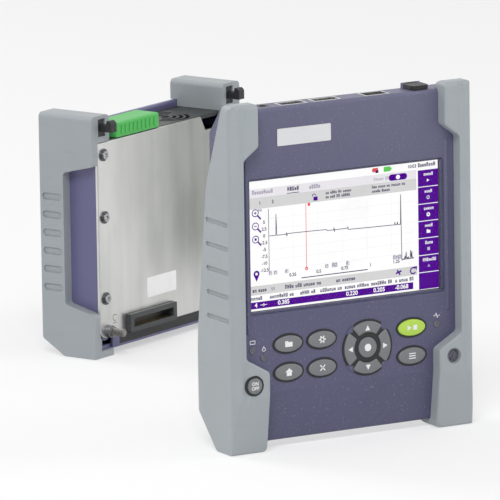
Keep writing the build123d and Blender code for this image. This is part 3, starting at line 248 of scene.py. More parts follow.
# %% [markdown]
# ## Metals
# The module's plate is stainless sheet with a satin finish. Brushing leaves fine lines along one
# direction, here up and down. Anisotropic shading could draw the stretched highlight, but lines in
# the roughness and the bump do it from any side, so noise squeezed along Z is used.

# %% The metals
def metal(name, colour, roughness, stretch=(1, 1, 1), line_size=0.0006, line_depth=0.000006):
    """Metal with fine lines in its colour, roughness and bump."""
    finish = Finish(name, metallic=1.0)
    lines = finish.noise(line_size, 4.0, stretch)
    cloud = finish.noise(0.03, 3.0)
    finish.tone = finish.blend(0.6 * cloud + 0.4 * lines, tuple(c * 0.86 for c in colour), colour)
    finish.set(base_color=finish.tone)
    finish.set(roughness=(roughness + 0.14 * (lines - 0.5) + 0.08 * (cloud - 0.5)).clamped())
    return finish.bump(lines, line_depth)


bright_steel = metal("bright_steel", (0.72, 0.72, 0.72), 0.22)
washer_steel = metal("washer_steel", (0.13, 0.13, 0.14), 0.3)
screw_steel = metal("screw_steel", (0.44, 0.44, 0.45), 0.26)
dark_steel = metal("dark_steel", (0.22, 0.22, 0.23), 0.36)
brass = metal("turned_brass", (0.78, 0.58, 0.25), 0.3, (1, 0.1, 1))
silver = metal("name_plate_silver", (0.80, 0.81, 0.83), 0.3, (0.05, 1, 1))
print("metals:", [f.material.name for f in (bright_steel, washer_steel, dark_steel, brass, silver)])

# %% [markdown]
# ## Glass, lenses, boards and label
# The touch glass is clear and only reflects, so most of it is Alpha near zero with a glossy skin.
# The lamps' lenses are smoked plastic. Round cells, pale at their edges, make the microphone's mesh.
# The circuit boards are green lacquer over faint copper tracks, and the label is plain white film.

# %% The other finishes
glass = Finish("touch_glass", base_color=(0.012, 0.012, 0.018), specular_ior_level=0.35)
glass_smear = glass.noise(0.02, 4.0).between(0.45, 0.8)
glass.set(alpha=(0.02 + 0.02 * glass_smear).clamped(), roughness=0.05 + 0.08 * glass_smear)

lens = Finish("smoked_lens", coat_weight=0.6, coat_roughness=0.08)
lens_ring = lens.noise(0.0012, 2.0)
lens.set(base_color=lens.blend(lens_ring, (0.05, 0.05, 0.075), (0.10, 0.10, 0.14)))
lens.set(roughness=0.2 + 0.1 * lens_ring)

mesh_weave = Finish("microphone_weave", specular_ior_level=0.4)
holes = mesh_weave.cells(0.0009).between(0.25, 0.5)
mesh_weave.set(base_color=mesh_weave.blend(holes, (0.006, 0.006, 0.008), (0.11, 0.11, 0.14)))
mesh_weave.set(roughness=0.5 + 0.2 * holes)
mesh_weave.bump(holes, 0.0002)

board = Finish("board_lacquer", specular_ior_level=0.6)
tracks = board.noise(0.0022, 1.0, (1, 0.2, 1)).between(0.53, 0.56)
board.set(base_color=board.blend(tracks, (0.010, 0.085, 0.030), (0.03, 0.19, 0.07)))
board.set(roughness=0.32 + 0.1 * tracks)
board.bump(tracks, 0.00003)

label = Finish("label_film", specular_ior_level=0.5)
label_cloud = label.noise(0.006, 3.0)
label.set(base_color=label.blend(label_cloud, (0.86, 0.86, 0.86), (0.93, 0.93, 0.93)))
label.set(roughness=0.3 + 0.12 * label_cloud)
label.bump(label.noise(0.003, 2.0), 0.00002)
print("others: touch glass, lens, microphone mesh, board, label")

# %% [markdown]
# ## The module's own directions
# The module stands turned on the floor, so its parts don't line up with X and Y. Its plate tells the
# way: the corner points that lie farthest along the mating face's outlook give the face's depth, and
# those farthest to either side give its middle. With these, a painted reflection can be shaded across
# the plate and a thread drawn across a screw.

# %% A frame for the module, its plate and the threads of its captive screws
millimetre = 0.001
module_turn = radians(25)
module_right = Vector((cos(module_turn), sin(module_turn), 0))
module_out = Vector((sin(module_turn), -cos(module_turn), 0))
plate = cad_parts["module_plate"]
corners = [plate.matrix_world @ vertex.co for vertex in plate.data.vertices]
across = [corner.dot(module_right) for corner in corners]
outlook = max(corner.dot(module_out) for corner in corners)
module_origin = module_right * (min(across) + max(across)) / 2 + module_out * outlook


def on_module(x, y, z):
    """A point given in millimetres from the middle of the mating face: right, out and up."""
    return module_origin + (module_right * x + module_out * y + Vector((0, 0, z))) * millimetre


# Painted reflection: the plate is paler towards its left edge and its foot and darker towards its upper
# right, with fine vertical streaks and larger vertical smears in the darkening.
plate_width = max(across) - min(across)
plate_low, plate_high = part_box("module_plate")
plate_steel = metal("satin_plate", (0.76, 0.765, 0.75), 0.34, (1, 1, 0.04), 0.0009, 0.00001)
sideways = (plate_steel.along(tuple(module_right)) - min(across)) * (1 / plate_width)
upwards = (plate_steel.along((0, 0, 1)) - plate_low.z) * (1 / (plate_high.z - plate_low.z))
streaks = plate_steel.noise(0.007, 3.0, (1, 1, 0.06)).between(0.35, 0.70)
reflection_smears = plate_steel.noise(0.03, 3.0, (1, 1, 0.5)).between(0.35, 0.70)
shade = 0.75 * sideways.between(0.0, 0.75) * upwards.between(0.0, 0.45) + 0.09 * streaks + 0.18 * reflection_smears
plate_steel.set(base_color=plate_steel.blend(shade.clamped(), plate_steel.tone, (0.27, 0.28, 0.262)))

thread_pitch = 1.0 * millimetre
thread_start, thread_full = 4.1 * millimetre, 4.4 * millimetre
thread_depth = 0.35 * millimetre
thread_steel = metal("threaded_steel", (0.30, 0.29, 0.28), 0.34)
reach = thread_steel.along(tuple(module_out)) - outlook
turns = (reach * (2 * pi / thread_pitch)).sine() * reach.between(thread_start, thread_full)
thread_steel.bump(turns, thread_depth)
print("mating face at", [round(v, 4) for v in module_origin])

# %% [markdown]
# ## Crowned keys
# A key's cap is slightly domed, so light fades across it. The solids have flat caps, and a bump that
# falls off as the square of the distance from the key's middle shades them as a dome. Each key has its
# own middle, so each gets a finish of its own.

# %% Domed caps for the keys
def crowned(node, colour):
    """Key plastic whose bump swells over the middle of one key, and whose rim is darkened by painted shade.
    """
    low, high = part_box(node)
    cap = moulded(node + "_plastic", colour, 0.30, 0.0003, 0.00002, 0.06, 0.6)
    reach_x = (cap.along((1, 0, 0)) - (low.x + high.x) / 2) * (2 / (high.x - low.x))
    reach_z = (cap.along((0, 0, 1)) - (low.z + high.z) / 2) * (2 / (high.z - low.z))
    swell = 1.0 - 0.5 * reach_x * reach_x - 0.5 * reach_z * reach_z
    # Painted shade: each cap's colour darkens towards its rim, where the dome turns away from the light.
    painted_rim_shade = (reach_x * reach_x + reach_z * reach_z).between(0.7, 1.15)
    cap.set(base_color=cap.blend(0.55 * painted_rim_shade, cap.tone, tuple(c * 0.35 for c in colour)))
    return cap.bump(swell, 0.0011)


oval_keys = ["upper_left", "upper_middle", "lower_left", "lower_middle", "lower_right", "start"]
ring_keys = ["arrow_up", "arrow_left", "arrow_down", "arrow_right", "centre", "power"]
caps = {}
for name in oval_keys + ring_keys:
    lime = name == "start"
    caps["key_" + name] = crowned("key_" + name, (0.44, 0.66, 0.075) if lime else (0.165, 0.175, 0.182))
print("crowned", len(caps), "keys")

# %% [markdown]
# ## Dressing the solids
# Each solid keeps its mesh and only takes a finish. A dictionary from finish to solids reads like a
# parts list, and a solid that was forgotten stops the script.

# %% Every solid gets its finish
dressing = {
    slate: ["front_case", "rear_case", "battery_door"],
    grey_rubber: ["left_bumper", "right_bumper", "module_left_bumper", "module_right_bumper"],
    violet: ["module_shell"],
    mesh_weave: ["microphone_mesh"],
    black: [
        "key_bezels", "battery_pack", "dock_socket", "round_sockets", "module_hooks",
        "fan_frame", "fan_rotor",
    ],
    socket_grey: ["module_connector"],
    dark_steel: ["screw_bushes"],
    black_rubber: ["display_gasket", "key_mat", "module_gasket", "charging_flap"],
    dark_panel: ["module_top_panel"],
    hood_green: ["port_hood"],
    adapter_blue: ["optical_adapters"],
    ceramic: ["adapter_sleeves"],
    plate_steel: ["module_plate"],
    silver: ["name_plate"],
    bright_steel: [
        "display_panel", "case_screws", "network_socket", "usb_sockets", "hood_pin", "optics_block",
    ],
    screw_steel: ["plate_screws"],
    washer_steel: ["plate_washers"],
    thread_steel: ["captive_screw_left", "captive_screw_right"],
    brass: ["dock_inserts"],
    glass: ["touch_glass"],
    lens: ["status_lenses"],
    board: ["main_board", "module_board"],
    label: ["blank_label"],
}
dressed = {name: finish for finish, names in dressing.items() for name in names} | caps
for name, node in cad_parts.items():
    node.data.materials.clear()
    node.data.materials.append(dressed[name].material)
print("dressed", len(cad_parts), "solids with", len(dressing) + len(caps), "finishes")

# %% [markdown]
# ## Flat shapes on the face
# The picture on the display and the symbols on the keys are flat shapes that face the user. Each is a
# polygon in the face's own coordinates, X to the right and Z up, laid a few hundredths of a millimetre
# in front of what carries it. One helper turns a list of polygons into a mesh.

# %% Helpers for flat shapes
film = 0.02 * millimetre


def sheet(name, polygons, finish, body):
    """A mesh of flat polygons, given as lists of points in space, that rides on a body."""
    points = []
    faces = []
    for polygon in polygons:
        faces.append(range(len(points), len(points) + len(polygon)))
        points.extend(polygon)
    mesh = bpy.data.meshes.new(name)
    mesh.from_pydata(points, [], faces)
    mesh.materials.append(finish.material)
    piece = bpy.data.objects.new(name, mesh)
    bpy.context.scene.collection.objects.link(piece)
    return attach(piece, body)


def flat_piece(name, polygons, depth, finish, body):
    """Polygons of (x, z) in metres that face the front, just in front of a depth."""
    return sheet(name, [[(x, depth - film, z) for x, z in polygon] for polygon in polygons], finish, body)


def ring(x, z, inner, outer, start=0.0, sweep=360.0, steps=28):
    """A ring or part of one, as quads; angles are in degrees, counter-clockwise from the right."""
    turns = [radians(start + sweep * k / steps) for k in range(steps + 1)]
    rim = [(cos(t), sin(t)) for t in turns]
    return [
        [(x + r * p[0], z + r * p[1]) for r, p in ((inner, a), (outer, a), (outer, b), (inner, b))]
        for a, b in zip(rim, rim[1:])
    ]


def disc(x, z, radius, steps=28):
    """A round polygon."""
    turns = [2 * pi * k / steps for k in range(steps)]
    return [(x + radius * cos(t), z + radius * sin(t)) for t in turns]


def bar(x, z, width, height):
    """A rectangle about its middle."""
    return [
        (x - width / 2, z - height / 2),
        (x + width / 2, z - height / 2),
        (x + width / 2, z + height / 2),
        (x - width / 2, z + height / 2),
    ]


def stroke(points, width):
    """A line of some width through points, as one quad for each run."""
    quads = []
    for (x0, z0), (x1, z1) in zip(points, points[1:]):
        run = Vector((x1 - x0, z1 - z0))
        side = Vector((-run.y, run.x)).normalized() * width / 2
        near = [(x0 - side.x, z0 - side.y), (x1 - side.x, z1 - side.y)]
        quads.append(near + [(x1 + side.x, z1 + side.y), (x0 + side.x, z0 + side.y)])
    return quads


print("shapes: ring, disc, bar, stroke")

# %% [markdown]
# ## The lit display
# The display shows a reflectometer's usual screen: how much light comes back from each point of a
# fibre, as a trace that falls slowly, with a spike at each connector. An image texture would do it, but
# drawn shapes stay sharp at any distance. The shapes glow a little, as a backlit screen does, and a
# fine noise stands for its pixels.

# %% Colours of the display
def lit(name, colour, strength=1.0):
    """A colour that glows, a little uneven from pixel to pixel."""
    finish = Finish(name, roughness=0.4, specular_ior_level=0.1, emission_strength=strength)
    pixels = finish.noise(0.00025, 1.0)
    shade = finish.blend(pixels, tuple(c * 0.95 for c in colour), colour)
    return finish.set(base_color=tuple(c * 0.06 for c in colour), emission_color=shade)


screen_white = lit("lit_white", (1.0, 1.0, 1.0))
screen_pale = lit("lit_pale_grey", (0.82, 0.80, 0.84))
screen_grey = lit("lit_grey", (0.67, 0.67, 0.67))
screen_line = lit("lit_grid", (0.84, 0.84, 0.87))
screen_purple = lit("lit_purple", (0.082, 0.0, 0.275))
screen_ink = lit("lit_ink", (0.025, 0.010, 0.085))
screen_faint = lit("lit_faint_ink", (0.33, 0.30, 0.40))
screen_red = lit("lit_red", (0.78, 0.09, 0.11))
screen_green = lit("lit_green", (0.12, 0.60, 0.10))
print("nine display colours")

# %% The picture, in shares of the screen's width and height from its top left corner
panel_low, panel_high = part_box("display_panel")
screen_width = 108.0 * millimetre
screen_height = 64.8 * millimetre
screen_x = (panel_low.x + panel_high.x) / 2 - screen_width / 2
screen_top = (panel_low.z + panel_high.z) / 2 + screen_height / 2
layer_step = 0.03 * millimetre


def on_screen(u, v):
    """The x and z of a place given in shares of the screen."""
    return (screen_x + u * screen_width, screen_top - v * screen_height)


def area(u0, v0, u1, v1):
    """A rectangle of the screen, from its upper left to its lower right."""
    return [on_screen(u0, v1), on_screen(u1, v1), on_screen(u1, v0), on_screen(u0, v0)]


def show(name, polygons, finish, layer):
    """Lay polygons over the display; higher layers lie in front."""
    return flat_piece(name, polygons, panel_low.y - layer * layer_step, finish, "body")


column_left, column_top, key_pitch, key_tall = 0.893, 0.068, 0.1335, 0.128
key_tops = [column_top + k * key_pitch for k in range(7)]
column = [area(column_left, top, 1, top + key_tall) for top in key_tops]
show("screen_ground", [area(0, 0, 1, 1)], screen_white, 1)
show("screen_tab_row", [area(0, 0.060, 0.885, 0.128)], screen_pale, 2)
show("screen_grey_rows", [area(0, 0.128, 0.885, 0.215), area(0, 0.808, 0.885, 0.878)], screen_grey, 2)
show("screen_purple_areas", column + [area(0, 0.932, 0.862, 0.985)], screen_purple, 2)
print("display: ground, grey rows, purple keys", len(column))

# %% The grid, the trace and the cursors
grid = []
for k in range(6):
    column_u = 0.23 + 0.13 * min(k, 4)
    row_v = 0.30 + 0.08 * k
    grid += stroke([on_screen(column_u, 0.24), on_screen(column_u, 0.70)], 0.12 * millimetre)
    grid += stroke([on_screen(0.105, row_v), on_screen(0.87, row_v)], 0.12 * millimetre)
show("screen_grid", grid, screen_line, 2)

chance = Random(4)
trace = [
    (0.102, 0.433), (0.139, 0.434), (0.141, 0.270), (0.144, 0.435), (0.194, 0.436), (0.195, 0.422),
    (0.197, 0.452), (0.199, 0.432), (0.298, 0.434), (0.405, 0.438), (0.408, 0.446), (0.443, 0.447),
    (0.445, 0.430), (0.447, 0.462), (0.449, 0.447), (0.516, 0.448), (0.518, 0.436), (0.521, 0.458),
    (0.640, 0.463), (0.766, 0.467), (0.768, 0.445), (0.770, 0.468), (0.779, 0.468), (0.781, 0.445),
    (0.783, 0.469), (0.798, 0.469), (0.800, 0.236), (0.803, 0.750),
]
trace += [(0.805 + 0.003 * k, 0.748 - (k % 2) * chance.uniform(0.0, 0.075)) for k in range(21)]
ink = stroke([on_screen(*p) for p in trace], 0.34 * millimetre)
ink += stroke([on_screen(0.102, 0.225), on_screen(0.102, 0.715)], 0.3 * millimetre)
ink += stroke([on_screen(0.27, 0.788), on_screen(0.62, 0.788)], 0.45 * millimetre)
show("screen_trace", ink, screen_ink, 3)
cursor = stroke([on_screen(0.298, 0.215), on_screen(0.298, 0.720)], 0.32 * millimetre)
cursor += ring(*on_screen(0.298, 0.720), 0.4 * millimetre, 0.9 * millimetre)
cursor += [area(0.308, 0.215, 0.321, 0.238)]
show("screen_cursor", cursor, screen_red, 4)
print("trace of", len(trace), "points, falling from", trace[0][1], "to", trace[20][1])

# %% Lines of print, drawn as small marks that spell nothing
def print_line(u, v, words, tall=1.6, weight=0.30):
    """Marks for words of so many letters each, starting at a place on the screen."""
    x, z = on_screen(u, v)
    marks = []
    unit = millimetre * tall / 1.25
    for letters in words:
        for _ in range(letters):
            wide = chance.uniform(0.35, 0.60) * unit
            high = chance.choice((1.05, 1.05, 1.5)) * unit
            lift = chance.choice((0.0, 0.5, 1.0)) * (high - 0.3 * unit)
            marks.append(bar(x, z + high / 2, weight * unit, high))
            marks.append(bar(x + wide, z + high / 2, weight * unit, high))
            marks.append(bar(x + wide / 2, z + lift + 0.15 * unit, wide, weight * unit))
            x += wide + 0.52 * unit
        x += 0.7 * unit
    return marks


lines_of_words = (
    (0.205, 0.105, (5,), 1.75), (0.015, 0.857, (2, 4), 1.6), (0.185, 0.857, (4, 3, 5, 2), 1.6),
    (0.455, 0.857, (2, 6), 1.6), (0.405, 0.165, (2, 4, 2, 5), 1.25), (0.405, 0.198, (2, 3, 2, 5), 1.25),
    (0.650, 0.165, (3, 4, 2, 5, 2), 1.25), (0.650, 0.198, (5, 5), 1.25), (0.005, 0.918, (5,), 1.6),
    (0.105, 0.918, (8, 2), 1.6), (0.265, 0.918, (4, 2), 1.6), (0.370, 0.918, (7, 2), 1.6),
    (0.500, 0.918, (5, 5), 1.6), (0.640, 0.918, (7, 2), 1.6), (0.768, 0.918, (1, 4, 2), 1.6),
    (0.896, 0.042, (8,), 1.7),
)
dark_lines = stroke([on_screen(0.200, 0.122), on_screen(0.265, 0.122)], 0.35 * millimetre)
for u, v, words, tall in lines_of_words:
    dark_lines += print_line(u, v, words, tall)
show("screen_print", dark_lines, screen_ink, 3)
faint_lines = print_line(0.02, 0.102, (9,), 1.7) + print_line(0.32, 0.108, (5,), 1.7)
faint_lines += print_line(0.660, 0.108, (5, 2), 1.4, 0.2) + print_line(0.05, 0.235, (2,), 1.4)
show("screen_faint_print", faint_lines, screen_faint, 3)
print("print:", (len(dark_lines) + len(faint_lines)) // 3, "letters")

# %% Event flags along the foot of the trace
flags = []
for u in (0.108, 0.134, 0.193, 0.404, 0.440, 0.452, 0.515, 0.764, 0.778, 0.792):
    x, z = on_screen(u, 0.722)
    flags += ring(x, z, 0.95 * millimetre, 1.3 * millimetre, 45, 360, 4)
    flags += print_line(u - 0.004, 0.730, (1,))
show("screen_flags", flags, screen_faint, 4)
print("flags:", len(flags), "polygons")

# %% Symbols on the display
def loupe(v, arms):
    """A magnifying glass with some bars in its middle."""
    x, z = on_screen(0.033, v)
    handle = [(x + 1.3 * millimetre, z - 1.4 * millimetre), (x + 3.1 * millimetre, z - 3.3 * millimetre)]
    shapes = ring(x, z, 1.5 * millimetre, 1.95 * millimetre) + stroke(handle, 0.85 * millimetre)
    return shapes + [bar(x, z, wide * millimetre, high * millimetre) for wide, high in arms]


symbols = loupe(0.245, [(1.6, 0.4), (0.4, 1.6)]) + loupe(0.347, [(1.6, 0.4)]) + loupe(0.448, [(1.2, 1.2)])
pin_x, pin_z = on_screen(0.035, 0.715)
pin_tip = [(-1.5, -0.7), (0, -3.9), (1.5, -0.7)]
symbols += ring(pin_x, pin_z, 0.7 * millimetre, 1.7 * millimetre)
symbols.append([(pin_x + a * millimetre, pin_z + b * millimetre) for a, b in pin_tip])
turn_x, turn_z = on_screen(0.862, 0.842)
arrow = [(0.5, 1.9), (2.3, 2.1), (2.1, 0.2)]
symbols += ring(turn_x, turn_z, 1.15 * millimetre, 1.85 * millimetre, 45, 285)
symbols.append([(turn_x + a * millimetre, turn_z + b * millimetre) for a, b in arrow])
symbols += stroke([on_screen(0.777, 0.822), on_screen(0.793, 0.862)], 0.8 * millimetre)
symbols += stroke([on_screen(0.770, 0.848), on_screen(0.800, 0.832)], 0.9 * millimetre)
symbols.append(bar(*on_screen(0.350, 0.188), 2.4 * millimetre, 2.0 * millimetre))
symbols += ring(*on_screen(0.342, 0.165), 0.7 * millimetre, 1.1 * millimetre, 0, 200, 12)
toggle_x, toggle_z = on_screen(0.787, 0.098)
symbols.append(bar(toggle_x, toggle_z, 7.4 * millimetre, 3.2 * millimetre))
symbols += [disc(toggle_x + side * 3.7 * millimetre, toggle_z, 1.6 * millimetre) for side in (-1, 1)]
show("screen_symbols", symbols, screen_purple, 3)
battery = [area(0.712, 0.008, 0.748, 0.046), area(0.748, 0.018, 0.754, 0.036)]
show("screen_battery", battery, screen_green, 3)
speaker = [disc(*on_screen(0.660, 0.024), 1.1 * millimetre), area(0.662, 0.008, 0.682, 0.028)]
show("screen_speaker", speaker, screen_red, 3)
show("screen_speaker_mark", [area(0.668, 0.026, 0.684, 0.048)], screen_ink, 3)
print("symbols:", len(symbols), "polygons")

# %% White marks over the purple areas
icon_x = on_screen(0.9465, 0)[0]
icon_z = [on_screen(0, top + 0.082)[1] for top in key_tops]
play = [(-0.6, -0.8), (0.8, 0), (-0.6, 0.8)]
white_marks = [disc(toggle_x, toggle_z, 1.15 * millimetre)]
white_marks.append([(icon_x + a * millimetre, icon_z[0] + b * millimetre) for a, b in play])
white_marks += ring(icon_x, icon_z[1], 0.65 * millimetre, 0.95 * millimetre, 30, 360, 6)
white_marks += ring(icon_x, icon_z[2], 0.45 * millimetre, 1.05 * millimetre)
white_marks.append(bar(icon_x, icon_z[3], 2.1 * millimetre, 1.4 * millimetre))
tab_z = icon_z[3] + 0.9 * millimetre
white_marks.append(bar(icon_x - 0.6 * millimetre, tab_z, 0.9 * millimetre, 0.5 * millimetre))
for k in (-0.6, 0, 0.6):
    white_marks.append(bar(icon_x, icon_z[4] + k * millimetre, 1.5 * millimetre, 0.25 * millimetre))
white_marks += ring(icon_x, icon_z[5], 0.5 * millimetre, 0.8 * millimetre, 90, 360, 3)
white_marks += ring(*on_screen(0.070, 0.958), 0.55 * millimetre, 0.8 * millimetre, 0, 360, 4)
white_marks += stroke([on_screen(0.052, 0.958), on_screen(0.088, 0.958)], 0.25 * millimetre)
for k, words in enumerate(((5,), (4,), (5,), (4,), (4,), (7,))):
    white_marks += print_line(0.930 - 0.0045 * (words[0] - 4), key_tops[k] + 0.045, words, 1.4, 0.26)
show("screen_white_marks", white_marks, screen_white, 4)
print("white marks:", len(white_marks))

# %% [markdown]
# ### Numbers
# The scale's numbers are text objects, turned into meshes so that they export as shapes. Numbers are
# plain, so the default letter shapes suit them.

# %% Numbers of the scales and the table
def number(name, words, x, z, size, depth, finish, body):
    """Words of a given height, centred at x, z on a face at depth."""
    curve = bpy.data.curves.new(name, "FONT")
    curve.body = words
    curve.size = size
    curve.offset = 0.025 * size
    curve.align_x = "CENTER"
    curve.align_y = "CENTER"
    text = bpy.data.objects.new(name, curve)
    text.rotation_euler = (pi / 2, 0, 0)
    text.location = (x, depth, z)
    bpy.context.scene.collection.objects.link(text)
    bpy.context.view_layer.update()
    mesh = bpy.data.meshes.new_from_object(text.evaluated_get(bpy.context.evaluated_depsgraph_get()))
    mesh.transform(text.matrix_world)
    mesh.materials.clear()
    mesh.materials.append(finish.material)
    bpy.data.objects.remove(text)
    piece = bpy.data.objects.new(name, mesh)
    bpy.context.scene.collection.objects.link(piece)
    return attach(piece, body)


ink_depth = panel_low.y - 3.5 * layer_step
scale = (5, 2.5, 0, -2.5, -5, -7.5, -10, -12.5)
numbers = [(str(value), 0.078, 0.323 + 0.053 * k) for k, value in enumerate(scale)]
distances = (0.25, 0.5, 0.75, 1, 1.25)
numbers += [(str(value), 0.225 + 0.137 * k, 0.755) for k, value in enumerate(distances)]
numbers += [("1", 0.058, 0.172), ("2", 0.125, 0.172), ("11", 0.12, 0.845), ("10:03", 0.862, 0.030)]
for k, (words, u, v) in enumerate(numbers):
    number(f"screen_number_{k}", words, *on_screen(u, v), 2.3 * millimetre, ink_depth, screen_ink, "body")
results = (("4", 0.03), ("0.385", 0.175), ("0.220", 0.535), ("0.205", 0.68), ("-0.068", 0.80))
for k, (words, u) in enumerate(results):
    place = on_screen(u, 0.958)
    depth = ink_depth - layer_step
    number(f"screen_result_{k}", words, *place, 3.0 * millimetre, depth, screen_white, "body")
print("numbers:", len(numbers) + len(results))

# %% [markdown]
# ## Symbols on the keys
# A key's legend is printed on its cap and clear-coated. Here each is a flat shape that rides on its own
# key, so that it sinks with the key when pressed. Arrows mark the ring, a dot the centre key, and
# simple symbols the oval keys. The power key carries the usual two words.

# %% Legends that ride on the keys
legend_white = Finish("legend_ink", specular_ior_level=0.4)
legend_wear = legend_white.noise(0.0006, 3.0)
legend_white.set(base_color=legend_white.blend(legend_wear, (0.72, 0.73, 0.74), (0.90, 0.90, 0.90)))
legend_white.set(roughness=0.4 + 0.1 * legend_wear)


def middle(node):
    """The middle of a solid's front: x, the depth of its foremost point, and z."""
    low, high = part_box(node)
    return (low.x + high.x) / 2, low.y, (low.z + high.z) / 2


def legend(node, polygons):
    """Print polygons, in millimetres about the key's middle, on its cap."""
    x, depth, z = middle(node)
    placed = [[(x + a * millimetre, z + b * millimetre) for a, b in polygon] for polygon in polygons]
    flat_piece("legend_" + node, placed, depth, legend_white, node + " body")


triangle = [(-1.4, -1.1), (1.4, -1.1), (0, 1.5)]
for quarter, side in enumerate(("up", "left", "down", "right")):
    c, s = cos(quarter * pi / 2), sin(quarter * pi / 2)
    legend("key_arrow_" + side, [[(a * c - b * s, a * s + b * c) for a, b in triangle]])
cog = [bar(1.65 * cos(k * pi / 3), 1.65 * sin(k * pi / 3), 0.7, 0.7) for k in range(6)]
legend("key_centre", [disc(0, 0, 1.9)])
legend("key_upper_left", [bar(0, -0.3, 4.2, 2.4), bar(-1.2, 1.15, 1.8, 0.7)])
legend("key_upper_middle", ring(0, 0, 0.7, 1.25) + cog)
legend("key_lower_left", [[(-2.2, 0.1), (2.2, 0.1), (0, 2.0)], bar(0, -0.9, 2.8, 1.9)])
legend("key_lower_middle", stroke([(-1.4, -1.4), (1.4, 1.4)], 0.6) + stroke([(-1.4, 1.4), (1.4, -1.4)], 0.6))
legend("key_start", [[(-2.6, -1.4), (-0.3, 0), (-2.6, 1.4)], bar(1.8, 0, 2.2, 2.4)])
legend("key_lower_right", [bar(0, k * 1.2, 3.8, 0.5) for k in (-1, 0, 1)])
power_x, power_y, power_z = middle("key_power")
letter_height = 2.4 * millimetre
for words, lift in (("ON", 1.15), ("OFF", -1.15)):
    place = (power_x, power_z + lift * millimetre, letter_height, power_y - film)
    number("legend_power_" + words.lower(), words, *place, legend_white, "key_power body")
print("legends on 12 keys")

# %% Case plastic between the arrow keys' seats, and painted shade round the microphone
ring_x, _, ring_z = middle("key_centre")
cap_proud = 0.6 * millimetre
bezel_face = middle("key_arrow_up")[1] + cap_proud
# Points round one notch: millimetres from the ring's middle, and radians from the notch's own middle.
notch = ((14.5, -0.21), (12.4, -0.07), (11.9, 0), (12.4, 0.07), (14.5, 0.21), (14.7, 0))
scallops = []
for k in range(4):
    turn = pi / 4 + k * pi / 2
    arms = [(r * millimetre, turn + a) for r, a in notch]
    scallops.append([(ring_x + r * cos(a), ring_z + r * sin(a)) for r, a in arms])
flat_piece("ring_scallops", scallops, bezel_face, slate, "body")
mic_x, _, mic_z = middle("microphone_mesh")
mic_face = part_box("right_bumper")[0].y
# Painted shade: a dark ring round the microphone stands for the shade in its bevelled recess.
mic_painted_shade = moulded("rim_shadow_rubber", (0.16, 0.175, 0.185), 0.5)
rim_inner, rim_outer = 3.42 * millimetre, 4.0 * millimetre
mic_shade_ring = ring(mic_x, mic_z, rim_inner, rim_outer)
flat_piece("microphone_painted_shade", mic_shade_ring, mic_face, mic_painted_shade, "body")
print("scallops:", len(scallops), "microphone rim:", len(mic_shade_ring))

# %% Marks above the lamps, and painted highlights: pale arcs on their lenses
island_gap = 2 * millimetre


def islands(node):
    """The boxes of a solid's separate bodies, as (low, high), from left to right."""
    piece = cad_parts[node]
    spots = sorted((tuple(piece.matrix_world @ v.co) for v in piece.data.vertices), key=lambda p: p[0])
    groups = [[spots[0]]]
    for spot in spots[1:]:
        if spot[0] - groups[-1][-1][0] > island_gap:
            groups.append([])
        groups[-1].append(spot)
    return [[Vector(map(f, zip(*group))) for f in (min, max)] for group in groups]


lenses = islands("status_lenses")
plate_step = 0.14 * millimetre
face_y = middle("name_plate")[1] + plate_step
mark_lift = 3.2
marks = {
    0: [bar(0, 0, 3.0, 0.35), bar(0, 1.6, 3.0, 0.35), bar(-1.35, 0.8, 0.35, 1.6), bar(1.35, 0.8, 0.35, 1.6)],
    1: ring(0, 0.9, 0.75, 1.05) + [bar(0, 1.9, 0.35, 1.3)],
    2: stroke([(-1.9, 0.9), (-0.9, 0.9), (-0.3, 2.2), (0.3, -0.3), (0.9, 0.9), (1.9, 0.9)], 0.35),
}
for k, (low, high) in enumerate(lenses):
    x, z = (low.x + high.x) / 2, (low.z + high.z) / 2
    placed = [
        [(x + a * millimetre, z + (mark_lift + b) * millimetre) for a, b in polygon]
        for polygon in marks[k]
    ]
    flat_piece(f"lamp_mark_{k}", placed, face_y, legend_white, "body")
    # Painted highlight: a short pale arc on each lens stands in for the glint of light on it.
    painted_glint = ring(x, z, 1.25 * millimetre, 1.5 * millimetre, 140, 150)
    flat_piece(f"lens_rim_{k}", painted_glint, low.y, lens_glint_grey, "body")
print("lamps at", [round((low.x + high.x) / 2, 4) for low, high in lenses])

# %% Contacts in the module's connector, the turning mark, and the dark lip under the plate
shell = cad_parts["module_shell"]
shell_out = max((shell.matrix_world @ v.co).dot(module_out) for v in shell.data.vertices)
lip_out = (shell_out - outlook) / millimetre
# Millimetres about the mating face's middle.
lip_left, lip_right = -44, 59
lip_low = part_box("module_shell")[0].z / millimetre + 1.2
lip_high = plate_low.z / millimetre - 0.2
lip = [(lip_left, lip_low), (lip_right, lip_low), (lip_right, lip_high), (lip_left, lip_high)]
sheet("plate_lip", [[on_module(a, lip_out + 0.03, b) for a, b in lip]], black, "body")
contact_count, contact_left, contact_pitch, contact_width = 24, -34.5, 1.42, 0.7
contact_front, contact_back = 2.8, -2.6
contact_heights = (12.75, 17.05)
contacts = []
for k in range(contact_count):
    x0 = contact_left + contact_pitch * k
    x1 = x0 + contact_width
    outline = [(x0, contact_front), (x1, contact_front), (x1, contact_back), (x0, contact_back)]
    for z in contact_heights:
        contacts.append([on_module(a, b, z) for a, b in outline])
sheet("connector_contacts", contacts, brass, "body")
mark = ring(-48.5, 19.6, 1.5, 1.8, 30, 270) + stroke([(-50.2, 16.9), (-46.8, 16.9)], 0.3)
sheet("turning_mark", [[on_module(a, 0.02, b) for a, b in polygon] for polygon in mark], black, "body")
print("contacts:", len(contacts), "lip", round(lip_out, 2), "mm from the mating face")

# %% [markdown]
# ## Studio
# The photograph is a cut-out on white, lit from all round. The floor and the world show white to the
# camera, and the floor keeps the shadow. Soft area lamps stand at the front left, the right and the back
# left, all above the pair, and the plain world fills in.

